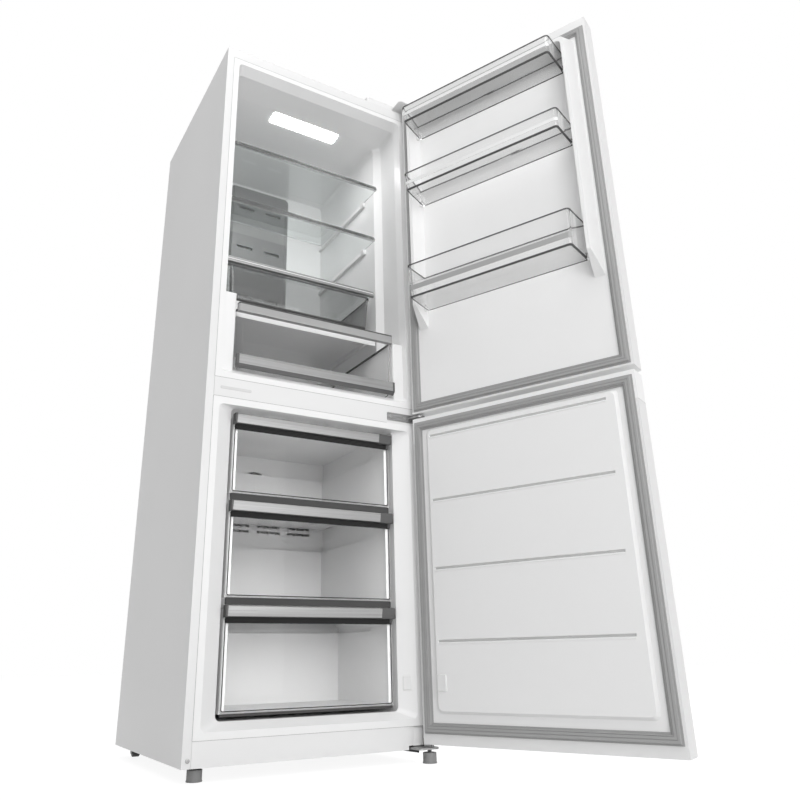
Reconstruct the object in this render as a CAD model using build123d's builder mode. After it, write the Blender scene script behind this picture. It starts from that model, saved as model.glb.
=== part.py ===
from build123d import *
import os
from math import cos, radians, sin

# A free-standing refrigerator with its freezer at the bottom, both doors hinged on the right.
# Millimetres: +X right, +Y back, +Z up. The origin is on the floor, under the middle of the
# cabinet's front edge. Both doors stand open, and every drawer is pushed in.

# ---------------------------------------------------------------- driving dimensions

# Cabinet
cabinet_width = 595
cabinet_depth = 586
cabinet_height = 1823
ground_clearance = 27
sheet = 1
fold_radius = 4
flange_width = 19
top_flange_height = 30
back_lip = 14
groove = 0.5
liner_wall = 2

# Walls round the fridge compartment, whose sides step in behind the wide front part
mouth_wall = 34.5
mouth_top_wall = 45
mouth_radius = 12
fridge_front_wall = 39.5
fridge_side_wall = 56.5
ceiling_wall = 67
ceiling_front_wall = 60
floor_step = 18
lead_in_depth = 27
wall_step_start = 105
wall_step_end = 125
rear_wall = 81

# Walls round the freezer compartment, and the hump over the compressor
freezer_side_wall = 72.5
freezer_mouth_rise = 15.5
freezer_floor_step = 16.5
hump_depth = 175
hump_top_depth = 105
hump_shoulder = 300
hump_top = 350
hump_radius = 14

# Cross bar between the compartments, and the plinth
mullion_low = 814
mullion_height = 48
mullion_lip = 12
mouth_over_mullion = 15
mouth_under_mullion = 17
plug_inset = 34.5
plug_width = 78
plug_height = 7
plug_rise = 23
plug_thickness = 0.8
kick_top = 76.5
kick_wall = 2.5
kick_bend_run = 62.5
kick_bend_depth = 22
kick_notch_run = 61.5
kick_notch_top = 36

# Back panel's swages
swage_count = 5
swage_pitch = 100
swage_width = 34
swage_depth = 4
back_panel_overlap = 8

# Base, feet and rollers
base_sheet = 2
base_front = 6
base_lip = 18
base_slot_length = 150
base_slot_pitch = 24
base_slot_shift = 120
foot_radius = 17
foot_pad_height = 12
foot_pad_edge = 1.5
foot_stem_radius = 5
foot_nut_radius = 8.5
foot_nut_height = 7
thread_clearance = 0.05
left_foot_inset = 37.5
left_foot_y = 30
right_foot_inset = 23.5
right_foot_forward = 28
roller_radius = 13
roller_width = 18
roller_inset = 42.5
roller_back_inset = 46
axle_radius = 3
axle_clearance = 0.05
lug_thickness = 2
lug_width = 22
lug_clearance = 1

# Doors, drawn closed and swung open about the hinge pins
door_side_margin = 0.5
door_thickness = 57
door_gap = 8
lower_door_rise = 11.7
door_parting_rise = 11.4
door_spacing = 14.6
door_top_rise = 5
door_edge_radius = 5
pivot_inset = 13
pivot_forward = 25
lower_opening = 113.2
upper_opening = 113.9
pin_radius = 4
pin_clearance = 0.05
pin_engagement = 13
bush_radius = 8
bush_end = 3
cap_wall = 2.5
door_liner_wall = 2
door_flange_margin = 6
top_cap_height = 28
bottom_cap_height = 5
lower_cap_height = 23.3
handle_cap_height = 68
lower_seal_drop = 11.4

# Door seals
seal_width = 23
seal_foot = 2.4
seal_head = 3.3
seal_head_inset = 3.2
seal_gap = 0.3
seal_corner = 6

# Upper door's moulded dykes and bins
dyke_margin = 35
dyke_width = 27
dyke_outer_slope = 12
dyke_inner_slope = 6
dyke_depth = 45
dyke_foot_rise = 230
dyke_foot_slope = 55
dyke_top_margin = 29
dyke_top_slope = 22
dyke_top_width = 10
dyke_under_slope = 11
dyke_corner = 12
bin_side_gap = 2
bin_taper = 5
bin_back = 2
bin_front = 102
bin_wall = 2.5
bin_draft = 3
bin_corner = 8
bin_notch = 12
bin_peg_depth = 10
top_bin_drop = 21
top_bin_height = 52
middle_bin_share = 0.588
middle_bin_height = 55
bottom_bin_rise = 48
bottom_bin_height = 97

# Lower door's raised panel, and the grip in its top
panel_margin = 41
panel_slope = 8
panel_rise = 8
panel_low_margin = 64.3
panel_top_margin = 35.4
panel_corner = 14
panel_groove_rise = 160
panel_groove_drop = 22
panel_groove_count = 4
panel_groove_width = 7
panel_groove_depth = 3
panel_groove_margin = 13
panel_groove_inset = 12
scoop_half = 120
scoop_edge = 5
scoop_width = 31
scoop_depth = 34
scoop_draft = 10

# Shelves
shelf_side_gap = 5
shelf_rear_gap = 25
shelf_glass = 4
top_shelf_drop = 166
top_shelf_front = 92
middle_shelf_share = 0.51
middle_shelf_front = 107
crisper_cover_rise = 367
crisper_cover_front = 120
crisper_cover_height = 15
shelf_trim_height = 9
shelf_trim_depth = 12
ledge_width = 9
ledge_height = 12
ledge_start = 180
divider_rise = 235
divider_thickness = 5
divider_front = 118
divider_lip = 12
divider_edge = 4
divider_gap = 1.5

# Crispers
crisper_wall = 2.5
upper_crisper_gap = 10
upper_crisper_front = 125
upper_crisper_rear_gap = 35
upper_crisper_rise = 11
upper_crisper_height = 102
lower_crisper_gap = 15
lower_crisper_front = 10
lower_crisper_rear_gap = 40
lower_crisper_rise = 3
lower_crisper_height = 159
crisper_draft = 8
crisper_corner = 16
crisper_bar_rise = 6.5
crisper_bar_height = 32.2
crisper_bar_depth = 7
crisper_lip_height = 7
crisper_lip_depth = 12

# Freezer drawers
drawer_side_gap = 9
drawer_front = 30
drawer_rear_gap = 13
drawer_hump_gap = 15
drawer_wall = 2
drawer_front_thickness = 3
drawer_bar_height = 17.5
drawer_bar_reach = 8
top_drawer_low = 594
top_drawer_high = 778.5
middle_drawer_low = 360
middle_drawer_high = 569.5
bottom_drawer_low = 122
bottom_drawer_high = 336.5
drawer_corner = 7
runner_drop = 48
runner_reach = 3
runner_thickness = 3
rail_gap = 0.5
rail_reach = 7
rail_thickness = 4
rail_front = 62

# Cooling parts
air_space = 67
air_panel_thickness = 3
air_panel_lip = 12
air_slot_height = 7
fan_slot_length = 110
fan_slot_pitch = 18
fan_slot_shift = 120
return_slot_length = 72
return_slot_pitch = 96
return_slot_spacing = 16
return_slot_count = 4
lower_return_rise = 60
upper_return_drop = 120
grille_rim = 4
grille_spokes = 6
grille_spoke_width = 3
fan_drop = 92
fan_radius = 52
fan_depth = 16
fan_hub_radius = 16
fan_blades = 7
fan_blade_twist = 32
fan_shaft_radius = 2.5
fan_hub_front = 4
fan_gap = 10
motor_radius = 24
evaporator_end_gap = 55
evaporator_rise = 35
evaporator_height = 225
evaporator_gap = 20
evaporator_depth = 40
fin_count = 12
fin_thickness = 1.2
tube_radius = 5
tube_rows = 4
compressor_x = 70
compressor_back_inset = 126
compressor_radius = 76
compressor_height = 150
dome = 26
weld_rise = 70
weld_reach = 4
weld_height = 6
mount_spread = 118
mount_radius = 11
mount_height = 14
cover_slot_length = 180
cover_slot_pitch = 16
cover_slot_rise = 170
cover_slot_margin = 34.5
cover_slot_width = 6
cover_slot_rows = 12
tray_height = 32
tray_wall = 2
tray_shift = 3
tray_half_width = 21
tray_half_length = 60
tray_draft = 3
tray_radius = 6
duct_half = 110
duct_rise = 14
duct_slope = 16
duct_low = 1300
duct_top_gap = 18

# Light, door sensor
lamp_half = 108
lamp_front = 112
lamp_depth = 46
lamp_lens = 3
lamp_housing = 14
lamp_gap = 0.3
lamp_rim = 5
sensor_width = 20
sensor_low = 155
sensor_height = 32
sensor_thickness = 3
magnet_width = 24
magnet_low = 153
magnet_height = 37
magnet_thickness = 3

# Hinges
hinge_sheet = 3
top_hinge_edge = 5.5
top_hinge_width = 50
top_hinge_step = 7
top_hinge_back = 78
top_hinge_bend = 14
hinge_reach = 17
hinge_cover_edge = 2.5
hinge_cover_width = 143
hinge_cover_front = 4
hinge_cover_back = 100
hinge_cover_height = 24
hinge_cover_wall = 2
hinge_cover_radius = 6
middle_hinge_width = 82
middle_hinge_drop = 3.4
middle_hinge_height = 21
middle_plate = 2.5
middle_arm = 5
bottom_hinge_inset = 59.5
bottom_hinge_sheet = 4
bottom_hinge_back = 58
screw_radius = 4.5
screw_head = 2

# ---------------------------------------------------------------- worked-out places

half_width = cabinet_width / 2
cabinet_top = ground_clearance + cabinet_height
opening_half = half_width - flange_width
compartment_depth = cabinet_depth - rear_wall
mouth_half_width = half_width - mouth_wall

mullion_high = mullion_low + mullion_height
fridge_mouth_floor = mullion_high + mouth_over_mullion
fridge_mouth_ceiling = cabinet_top - mouth_top_wall
fridge_floor = fridge_mouth_floor + floor_step
fridge_ceiling = cabinet_top - ceiling_wall
fridge_ceiling_front = cabinet_top - ceiling_front_wall
fridge_wide_half = half_width - fridge_front_wall
fridge_narrow_half = half_width - fridge_side_wall

freezer_mouth_floor = kick_top + freezer_mouth_rise
freezer_mouth_ceiling = mullion_low - mouth_under_mullion
freezer_floor = freezer_mouth_floor + freezer_floor_step
freezer_half_width = half_width - freezer_side_wall
hump_front = compartment_depth - hump_depth
hump_slope_end = compartment_depth - hump_top_depth
back_panel_low = hump_top - back_panel_overlap

plug_left = plug_inset - half_width
plug_right = plug_left + plug_width
plug_level = mullion_low + plug_rise
kick_bend_start = half_width - kick_bend_run
kick_notch_left = half_width - kick_notch_run
left_foot_x = left_foot_inset - half_width
right_foot_x = half_width - right_foot_inset
right_foot_y = -right_foot_forward
roller_x = half_width - roller_inset
roller_y = cabinet_depth - roller_back_inset

door_half = half_width - door_side_margin
door_width = 2 * door_half
door_back = -door_gap
door_front = door_back - door_thickness
lower_door_bottom = ground_clearance + lower_door_rise
lower_door_top = mullion_low + door_parting_rise
upper_door_bottom = lower_door_top + door_spacing
upper_door_top = cabinet_top + door_top_rise
handle_cap_low = lower_door_top - handle_cap_height
flange_half = door_half - door_flange_margin
upper_seal_low = upper_door_bottom + bottom_cap_height
upper_seal_high = upper_door_top - top_cap_height
lower_seal_low = lower_door_bottom + lower_cap_height
lower_seal_high = lower_door_top - lower_seal_drop
pivot_x = half_width - pivot_inset
pivot_y = -pivot_forward
hinge_front = pivot_y - hinge_reach

dyke_base_outer = door_half - dyke_margin
dyke_base_inner = dyke_base_outer - dyke_width
dyke_crest_outer = dyke_base_outer - dyke_outer_slope
dyke_crest_inner = dyke_base_inner + dyke_inner_slope
dyke_base_top = upper_seal_high - dyke_top_margin
dyke_crest_top = dyke_base_top - dyke_top_slope
dyke_crest_under = dyke_crest_top - dyke_top_width
dyke_base_under = dyke_crest_under - dyke_under_slope
dyke_foot = upper_seal_low + dyke_foot_rise
bin_back_half = dyke_base_inner - bin_side_gap
bin_front_half = bin_back_half - bin_taper
top_bin_low = dyke_crest_under - top_bin_drop - top_bin_height
bottom_bin_low = dyke_foot + bottom_bin_rise
middle_bin_low = bottom_bin_low + middle_bin_share * (top_bin_low - bottom_bin_low)
bin_levels = {
    "top_bin": (top_bin_low, top_bin_low + top_bin_height),
    "middle_bin": (middle_bin_low, middle_bin_low + middle_bin_height),
    "bottom_bin": (bottom_bin_low, bottom_bin_low + bottom_bin_height),
}
panel_base_half = door_half - panel_margin
panel_face_half = panel_base_half - panel_slope
panel_low = lower_door_bottom + panel_low_margin
panel_high = lower_door_top - panel_top_margin
panel_groove_end = panel_face_half - panel_groove_margin
first_groove = panel_low + panel_groove_rise
groove_pitch = (panel_high - panel_groove_drop - first_groove) / (panel_groove_count - 1)
panel_grooves = [first_groove + count * groove_pitch for count in range(panel_groove_count)]
scoop_front = door_front + scoop_edge
scoop_back = scoop_front + scoop_width

shelf_half = fridge_narrow_half - shelf_side_gap
shelf_back = compartment_depth - shelf_rear_gap
top_shelf_level = fridge_ceiling - top_shelf_drop
crisper_cover_level = fridge_floor + crisper_cover_rise
middle_shelf_level = crisper_cover_level + middle_shelf_share * (top_shelf_level - crisper_cover_level)
shelf_levels = (top_shelf_level, middle_shelf_level, crisper_cover_level)
divider_level = fridge_floor + divider_rise
upper_crisper_half = fridge_narrow_half - ledge_width - upper_crisper_gap
upper_crisper_back = compartment_depth - upper_crisper_rear_gap
upper_crisper_low = divider_level + upper_crisper_rise
upper_crisper_high = upper_crisper_low + upper_crisper_height
lower_crisper_half = fridge_narrow_half - lower_crisper_gap
lower_crisper_back = compartment_depth - lower_crisper_rear_gap
lower_crisper_low = fridge_floor + lower_crisper_rise
lower_crisper_high = lower_crisper_low + lower_crisper_height
crisper_bar_low = lower_crisper_low + crisper_bar_rise
crisper_bar_high = crisper_bar_low + crisper_bar_height

air_panel_front = compartment_depth - air_space
fan_level = freezer_mouth_ceiling - fan_drop
fan_front = air_panel_front + fan_gap
evaporator_half = freezer_half_width - evaporator_end_gap
evaporator_low = hump_top + evaporator_rise
evaporator_high = evaporator_low + evaporator_height
evaporator_front = air_panel_front + evaporator_gap
evaporator_back = evaporator_front + evaporator_depth
drawer_half = freezer_half_width - drawer_side_gap
drawer_depth = air_panel_front - drawer_rear_gap - drawer_front
short_drawer_depth = hump_front - drawer_hump_gap - drawer_front
drawer_lows = (top_drawer_low, middle_drawer_low, bottom_drawer_low)
drawer_highs = (top_drawer_high, middle_drawer_high, bottom_drawer_high)
compressor_y = cabinet_depth - compressor_back_inset
tray_left = compressor_x - tray_shift - tray_half_width
tray_right = compressor_x - tray_shift + tray_half_width
duct_high = fridge_ceiling - duct_top_gap
lamp_back = lamp_front + lamp_depth
sensor_high = sensor_low + sensor_height
magnet_left = panel_face_half - magnet_width - 1
magnet_high = magnet_low + magnet_height

top_hinge_right = half_width - top_hinge_edge
top_hinge_left = top_hinge_right - top_hinge_width
hinge_cover_right = half_width - hinge_cover_edge
hinge_cover_left = hinge_cover_right - hinge_cover_width
middle_hinge_left = opening_half - groove - middle_hinge_width
middle_hinge_low = lower_door_top - middle_hinge_drop
middle_hinge_high = middle_hinge_low + middle_hinge_height
bottom_hinge_left = half_width - bottom_hinge_inset


def upright(depth):
    """Drawing plane seen from the front, this far behind the cabinet's front face."""
    return Plane.XZ.offset(-depth)


def level(height):
    """Drawing plane seen from above, at this height over the floor."""
    return Plane.XY.offset(height)


def swing(opening):
    """Placement that carries a closed door's planes to its opening angle."""
    to_pin = Location((pivot_x, pivot_y, 0))
    turn = Location((0, 0, 0), (0, 0, opening))
    from_pin = Location((-pivot_x, -pivot_y, 0))
    return to_pin * turn * from_pin


def hang(placement, plane):
    """Drawing plane of a closed door, carried along with the door as it opens."""
    return Plane(placement * plane.location)


def panel(plane, left, right, low, high, radius=0):
    """Rectangle drawn by its four edges, with round corners if a radius is given."""
    with BuildSketch(plane) as outline:
        with Locations(((left + right) / 2, (low + high) / 2)):
            if radius:
                RectangleRounded(right - left, high - low, radius)
            else:
                Rectangle(right - left, high - low)
    return outline.sketch


def frame(plane, half, low, high, width, radius):
    """Rectangular ring, this wide, inside the given outer edges."""
    with BuildSketch(plane) as outline:
        add(panel(Plane.XY, -half, half, low, high, radius))
        inner_radius = max(radius - width, 0)
        add(
            panel(Plane.XY, width - half, half - width, low + width, high - width, inner_radius),
            mode=Mode.SUBTRACT,
        )
    return outline.sketch


def disc(plane, x, y, radius):
    """Circle at a place on a plane."""
    with BuildSketch(plane) as outline:
        with Locations((x, y)):
            Circle(radius)
    return outline.sketch


def save(piece, name):
    """Labels a finished piece and writes it under its name."""
    piece.part.label = name
    export_step(piece.part, f"parts/{name}.step")


os.makedirs("parts", exist_ok=True)

# ---------------------------------------------------------------- cabinet

# One sheet folded over both sides and the top, with a front flange and a lip for the back panel.
with BuildPart() as cabinet_shell:
    with BuildSketch(upright(0)) as shell_section:
        with Locations((0, ground_clearance + cabinet_height / 2)):
            Rectangle(cabinet_width, cabinet_height)
        fillet(shell_section.vertices().group_by(Axis.Y)[-1], fold_radius)
        with Locations((0, ground_clearance + (cabinet_height - sheet) / 2)):
            Rectangle(cabinet_width - 2 * sheet, cabinet_height - sheet, mode=Mode.SUBTRACT)
    extrude(amount=-cabinet_depth)
    with BuildSketch(upright(0)):
        add(panel(Plane.XY, -half_width + sheet, half_width - sheet, ground_clearance, cabinet_top - sheet))
        add(
            panel(Plane.XY, -opening_half, opening_half, 0, cabinet_top - top_flange_height),
            mode=Mode.SUBTRACT,
        )
    extrude(amount=-sheet)
    with BuildSketch(upright(cabinet_depth - sheet)):
        add(panel(Plane.XY, -half_width + sheet, half_width - sheet, ground_clearance, cabinet_top - sheet))
        add(
            panel(Plane.XY, back_lip - half_width, half_width - back_lip, 0, cabinet_top - back_lip),
            mode=Mode.SUBTRACT,
        )
    extrude(amount=-sheet)
save(cabinet_shell, "cabinet_shell")

# Back panel, stiffened by upright swages.
back_panel_half = half_width - sheet
back_panel_face = cabinet_depth - 2 * sheet
with BuildPart() as back_panel:
    with BuildSketch(level(back_panel_low)):
        add(panel(Plane.XY, -back_panel_half, back_panel_half, back_panel_face, back_panel_face + sheet))
        with Locations((0, back_panel_face - swage_depth / 2)):
            with GridLocations(swage_pitch, 1, swage_count, 1):
                Trapezoid(swage_width, swage_depth, 45, rotation=180)
        with Locations((0, back_panel_face - swage_depth / 2 + sheet)):
            with GridLocations(swage_pitch, 1, swage_count, 1):
                Trapezoid(swage_width - sheet, swage_depth, 45, rotation=180, mode=Mode.SUBTRACT)
    extrude(amount=cabinet_top - sheet - back_panel_low)
save(back_panel, "back_panel")


def cavity(sections, grow, radius):
    """Rounded sections of a compartment, front to back, each grown outwards by the same amount."""
    return [
        panel(upright(depth), -half - grow, half + grow, low - grow, high + grow, radius + grow)
        for depth, half, low, high in sections
    ]


fridge_sections = (
    (0, mouth_half_width, fridge_mouth_floor, fridge_mouth_ceiling),
    (lead_in_depth, fridge_wide_half, fridge_floor, fridge_ceiling_front),
    (wall_step_start, fridge_wide_half, fridge_floor, fridge_ceiling),
    (wall_step_end, fridge_narrow_half, fridge_floor, fridge_ceiling),
    (compartment_depth, fridge_narrow_half, fridge_floor, fridge_ceiling),
)
fridge_outside = fridge_sections[:-1] + (
    (compartment_depth + liner_wall, fridge_narrow_half, fridge_floor, fridge_ceiling),
)

# Undersides of what the moulded ledges carry: the three glass shelves and the divider.
divider_seat = divider_level - divider_thickness
with BuildPart() as fridge_liner:
    extrude(
        panel(
            upright(0),
            groove - opening_half,
            opening_half - groove,
            mullion_high,
            cabinet_top - top_flange_height - groove,
        ),
        amount=-liner_wall,
    )
    loft(cavity(fridge_outside, liner_wall, mouth_radius), ruled=True)
    loft(cavity(fridge_sections, 0, mouth_radius), ruled=True, mode=Mode.SUBTRACT)
    for seat_level in [shelf_level - shelf_glass for shelf_level in shelf_levels] + [divider_seat]:
        for side in (-1, 1):
            ledge_inner = side * (fridge_narrow_half - ledge_width)
            ledge_outer = side * (fridge_narrow_half + liner_wall / 2)
            extrude(
                panel(
                    level(seat_level - ledge_height),
                    min(ledge_inner, ledge_outer),
                    max(ledge_inner, ledge_outer),
                    ledge_start,
                    compartment_depth,
                ),
                amount=ledge_height,
            )
    extrude(
        panel(level(fridge_ceiling - liner_wall), -lamp_half, lamp_half, lamp_front, lamp_back, 4),
        amount=3 * liner_wall,
        mode=Mode.SUBTRACT,
    )
save(fridge_liner, "fridge_liner")

freezer_mouth = (
    (0, mouth_half_width, freezer_mouth_floor, freezer_mouth_ceiling),
    (lead_in_depth - liner_wall, freezer_half_width, freezer_floor, freezer_mouth_ceiling),
)


def freezer_side(grow):
    """Side outline of the freezer behind its lead-in, with the hump over the compressor."""
    start = freezer_mouth[1][0]
    with BuildSketch(Plane.YZ) as outline:
        with BuildLine():
            Polyline(
                (start, freezer_floor),
                (hump_front, freezer_floor),
                (hump_front, hump_shoulder),
                (hump_slope_end, hump_top),
                (compartment_depth, hump_top),
                (compartment_depth, freezer_mouth_ceiling),
                (start, freezer_mouth_ceiling),
                close=True,
            )
        make_face()
        fillet(outline.vertices().group_by(Axis.X)[1], hump_radius)
        if grow:
            offset(amount=grow, kind=Kind.INTERSECTION)
            add(
                panel(Plane.XY, start - 2 * grow, start, 0, cabinet_top),
                mode=Mode.SUBTRACT,
            )
    return outline.sketch


# Undersides of the drawers' side flanges, which ride on rails.
runner_levels = [high - runner_drop for high in drawer_highs]

with BuildPart() as freezer_liner:
    extrude(
        panel(
            upright(0),
            groove - opening_half,
            opening_half - groove,
            kick_top,
            mullion_low,
        ),
        amount=-liner_wall,
    )
    loft(cavity(freezer_mouth, liner_wall, mouth_radius), ruled=True)
    extrude(freezer_side(liner_wall), amount=freezer_half_width + liner_wall, both=True)
    loft(cavity(freezer_mouth, 0, mouth_radius), ruled=True, mode=Mode.SUBTRACT)
    extrude(freezer_side(0), amount=freezer_half_width, both=True, mode=Mode.SUBTRACT)
    for runner_level, depth in zip(runner_levels, (drawer_depth, drawer_depth, short_drawer_depth)):
        for side in (-1, 1):
            rail_inner = side * (freezer_half_width - rail_reach)
            rail_outer = side * (freezer_half_width + liner_wall / 2)
            extrude(
                panel(
                    level(runner_level - rail_gap - rail_thickness),
                    min(rail_inner, rail_outer),
                    max(rail_inner, rail_outer),
                    rail_front,
                    drawer_front + depth,
                ),
                amount=rail_thickness,
            )
save(freezer_liner, "freezer_liner")

# Steel strip across the cabinet between the doors, folded back along both edges.
with BuildPart() as mullion_cover:
    with BuildSketch(Plane.YZ):
        add(panel(Plane.XY, 0, mullion_lip, mullion_low, mullion_high))
        add(
            panel(Plane.XY, sheet, mullion_lip + sheet, mullion_low + sheet, mullion_high - sheet),
            mode=Mode.SUBTRACT,
        )
    extrude(amount=opening_half - groove, both=True)
save(mullion_cover, "mullion_cover")

# Thin plug over the holes that a left-hand hinge would use.
with BuildPart() as mullion_plug:
    with BuildSketch(upright(0)):
        with Locations(((plug_left + plug_right) / 2, plug_level)):
            SlotOverall(plug_right - plug_left, plug_height)
    extrude(amount=plug_thickness)
    chamfer(mullion_plug.faces().sort_by(Axis.Y)[0].edges(), plug_thickness / 2)
save(mullion_plug, "mullion_plug")

# Plinth strip, whose right end bends back behind the lower hinge.
with BuildPart() as kick_plate:
    with BuildSketch(level(ground_clearance)) as kick_outline:
        with BuildLine():
            kick_left = groove - opening_half
            kick_right = opening_half - groove
            Line((kick_left, 0), (kick_bend_start, 0))
            TangentArc((kick_bend_start, 0), (kick_right, kick_bend_depth), tangent=(1, 0))
            Line((kick_right, kick_bend_depth), (kick_right - kick_wall, kick_bend_depth + kick_wall))
            TangentArc(
                (kick_bend_start, kick_wall),
                (kick_right - kick_wall, kick_bend_depth + kick_wall),
                tangent=(1, 0),
            )
            Line((kick_bend_start, kick_wall), (kick_left, kick_wall))
            Line((kick_left, kick_wall), (kick_left, 0))
        make_face()
    extrude(amount=kick_top - ground_clearance)
    extrude(
        panel(level(ground_clearance), kick_notch_left, half_width, -1, kick_bend_depth + 2 * kick_wall),
        amount=kick_notch_top - ground_clearance,
        mode=Mode.SUBTRACT,
    )
save(kick_plate, "kick_plate")

# ---------------------------------------------------------------- base, feet and rollers

base_half = half_width - sheet
base_back = cabinet_depth - sheet
roller_window = roller_width + 2 * lug_thickness + 2 * lug_clearance
axle_level = roller_radius

with BuildPart() as base_frame:
    extrude(panel(level(ground_clearance), -base_half, base_half, base_front, base_back), amount=base_sheet)
    for side in (-1, 1):
        lip_outer = side * base_half
        lip_inner = side * (base_half - base_sheet)
        extrude(
            panel(
                level(ground_clearance + base_sheet),
                min(lip_inner, lip_outer),
                max(lip_inner, lip_outer),
                base_front,
                base_back,
            ),
            amount=base_lip,
        )
        # Two lugs carry each roller's axle.
        for lug in (-1, 1):
            lug_middle = side * roller_x + lug * (roller_width / 2 + lug_clearance + lug_thickness / 2)
            with BuildSketch(Plane.YZ.offset(lug_middle - lug_thickness / 2)):
                with BuildLine():
                    lug_reach = lug_width / 2
                    lug_low = axle_level - lug_reach / 2
                    Polyline(
                        (roller_y - lug_reach, ground_clearance),
                        (roller_y - lug_reach / 2, lug_low),
                        (roller_y + lug_reach / 2, lug_low),
                        (roller_y + lug_reach, ground_clearance),
                        close=True,
                    )
                make_face()
            extrude(amount=lug_thickness)
        # The axle is riveted through both lugs.
        axle_span = roller_window / 2
        axle_plane = Plane.YZ.offset(side * roller_x - axle_span)
        extrude(disc(axle_plane, roller_y, axle_level, axle_radius), amount=2 * axle_span)
    # Threaded hole of the left foot, and air slots below the compressor.
    with Locations(level(ground_clearance)):
        with Locations((left_foot_x, left_foot_y)):
            Cylinder(
                foot_stem_radius + thread_clearance,
                4 * base_sheet,
                mode=Mode.SUBTRACT,
            )
    with BuildSketch(level(ground_clearance)):
        with Locations((-base_slot_shift, compressor_y)):
            with GridLocations(1, base_slot_pitch, 1, 5):
                Rectangle(base_slot_length, base_slot_pitch / 3)
    extrude(amount=base_sheet, mode=Mode.SUBTRACT)
save(base_frame, "base_frame")


def levelling_foot(x, y, top, name):
    """Pad with a hexagonal collar and the stem that screws into the base."""
    with BuildPart() as foot:
        with BuildSketch(level(0)):
            with Locations((x, y)):
                Circle(foot_radius)
        extrude(amount=foot_pad_height)
        chamfer(foot.edges().filter_by(GeomType.CIRCLE), foot_pad_edge)
        with BuildSketch(level(foot_pad_height)):
            with Locations((x, y)):
                RegularPolygon(foot_nut_radius, 6)
        extrude(amount=foot_nut_height)
        stem_low = foot_pad_height + foot_nut_height
        extrude(disc(level(stem_low), x, y, foot_stem_radius), amount=top - stem_low)
    save(foot, name)


bottom_hinge_low = ground_clearance + base_sheet
bottom_hinge_top = bottom_hinge_low + bottom_hinge_sheet
levelling_foot(left_foot_x, left_foot_y, ground_clearance + base_sheet, "foot_left")
levelling_foot(right_foot_x, right_foot_y, bottom_hinge_top, "foot_right")

for side, name in ((-1, "roller_left"), (1, "roller_right")):
    with BuildPart() as roller:
        roller_plane = Plane.YZ.offset(side * roller_x - roller_width / 2)
        with BuildSketch(roller_plane):
            with Locations((roller_y, axle_level)):
                Circle(roller_radius)
                Circle(axle_radius + axle_clearance, mode=Mode.SUBTRACT)
        extrude(amount=roller_width)
        chamfer(roller.edges().filter_by(GeomType.CIRCLE).group_by(SortBy.RADIUS)[-1], 1.5)
    save(roller, name)

# ---------------------------------------------------------------- hinges


def hinge_pin(low, high):
    """Hinge pin between two heights."""
    extrude(disc(level(low), pivot_x, pivot_y, pin_radius), amount=high - low)


top_hinge_level = cabinet_top + top_hinge_step
with BuildPart() as top_hinge:
    with BuildSketch(Plane.YZ.offset(top_hinge_left)):
        with BuildLine():
            Polyline(
                (hinge_front, top_hinge_level),
                (0, top_hinge_level),
                (top_hinge_bend, cabinet_top),
                (top_hinge_back, cabinet_top),
                (top_hinge_back, cabinet_top + hinge_sheet),
                (top_hinge_bend + 1, cabinet_top + hinge_sheet),
                (1, top_hinge_level + hinge_sheet),
                (hinge_front, top_hinge_level + hinge_sheet),
                close=True,
            )
        make_face()
    extrude(amount=top_hinge_right - top_hinge_left)
    fillet(top_hinge.edges().filter_by(Axis.Z).group_by(Axis.Y)[0], 9)
    hinge_pin(upper_door_top - pin_engagement, top_hinge_level)
save(top_hinge, "top_hinge")

with BuildPart() as top_hinge_cover:
    cover_top = cabinet_top + hinge_cover_height
    cover_outline = panel(
        level(cabinet_top),
        hinge_cover_left,
        hinge_cover_right,
        hinge_cover_front,
        hinge_cover_back,
        hinge_cover_radius,
    )
    extrude(cover_outline, amount=hinge_cover_height)
    fillet(top_hinge_cover.faces().sort_by(Axis.Z)[-1].edges(), 5)
    offset(amount=-hinge_cover_wall, openings=top_hinge_cover.faces().sort_by(Axis.Z)[0])
    extrude(
        panel(
            level(cabinet_top),
            top_hinge_left - 1,
            top_hinge_right + 1,
            hinge_cover_front - 1,
            hinge_cover_front + 4 * hinge_cover_wall,
        ),
        amount=top_hinge_step + hinge_sheet + 1,
        mode=Mode.SUBTRACT,
    )
save(top_hinge_cover, "top_hinge_cover")

middle_arm_low = (lower_door_top + upper_door_bottom - middle_arm) / 2
with BuildPart() as middle_hinge:
    extrude(
        panel(
            upright(0),
            middle_hinge_left,
            opening_half - groove,
            middle_hinge_low,
            middle_hinge_high,
            2,
        ),
        amount=middle_plate,
    )
    with BuildSketch(level(middle_arm_low)) as arm_outline:
        with BuildLine():
            arm_root = pivot_x - 22.5
            arm_tip = pivot_x + 9
            Polyline(
                (arm_root, 0),
                (arm_root, -14),
                (pivot_x - 12, hinge_front + 6),
                (pivot_x - 6, hinge_front + 4),
                (arm_tip, hinge_front + 4),
                (arm_tip, -6),
                (opening_half - groove, 0),
                close=True,
            )
        make_face()
        fillet(arm_outline.vertices().group_by(Axis.Y)[0], 5)
    extrude(amount=middle_arm)
    hinge_pin(lower_door_top - pin_engagement, upper_door_bottom + pin_engagement)
save(middle_hinge, "middle_hinge")

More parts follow.
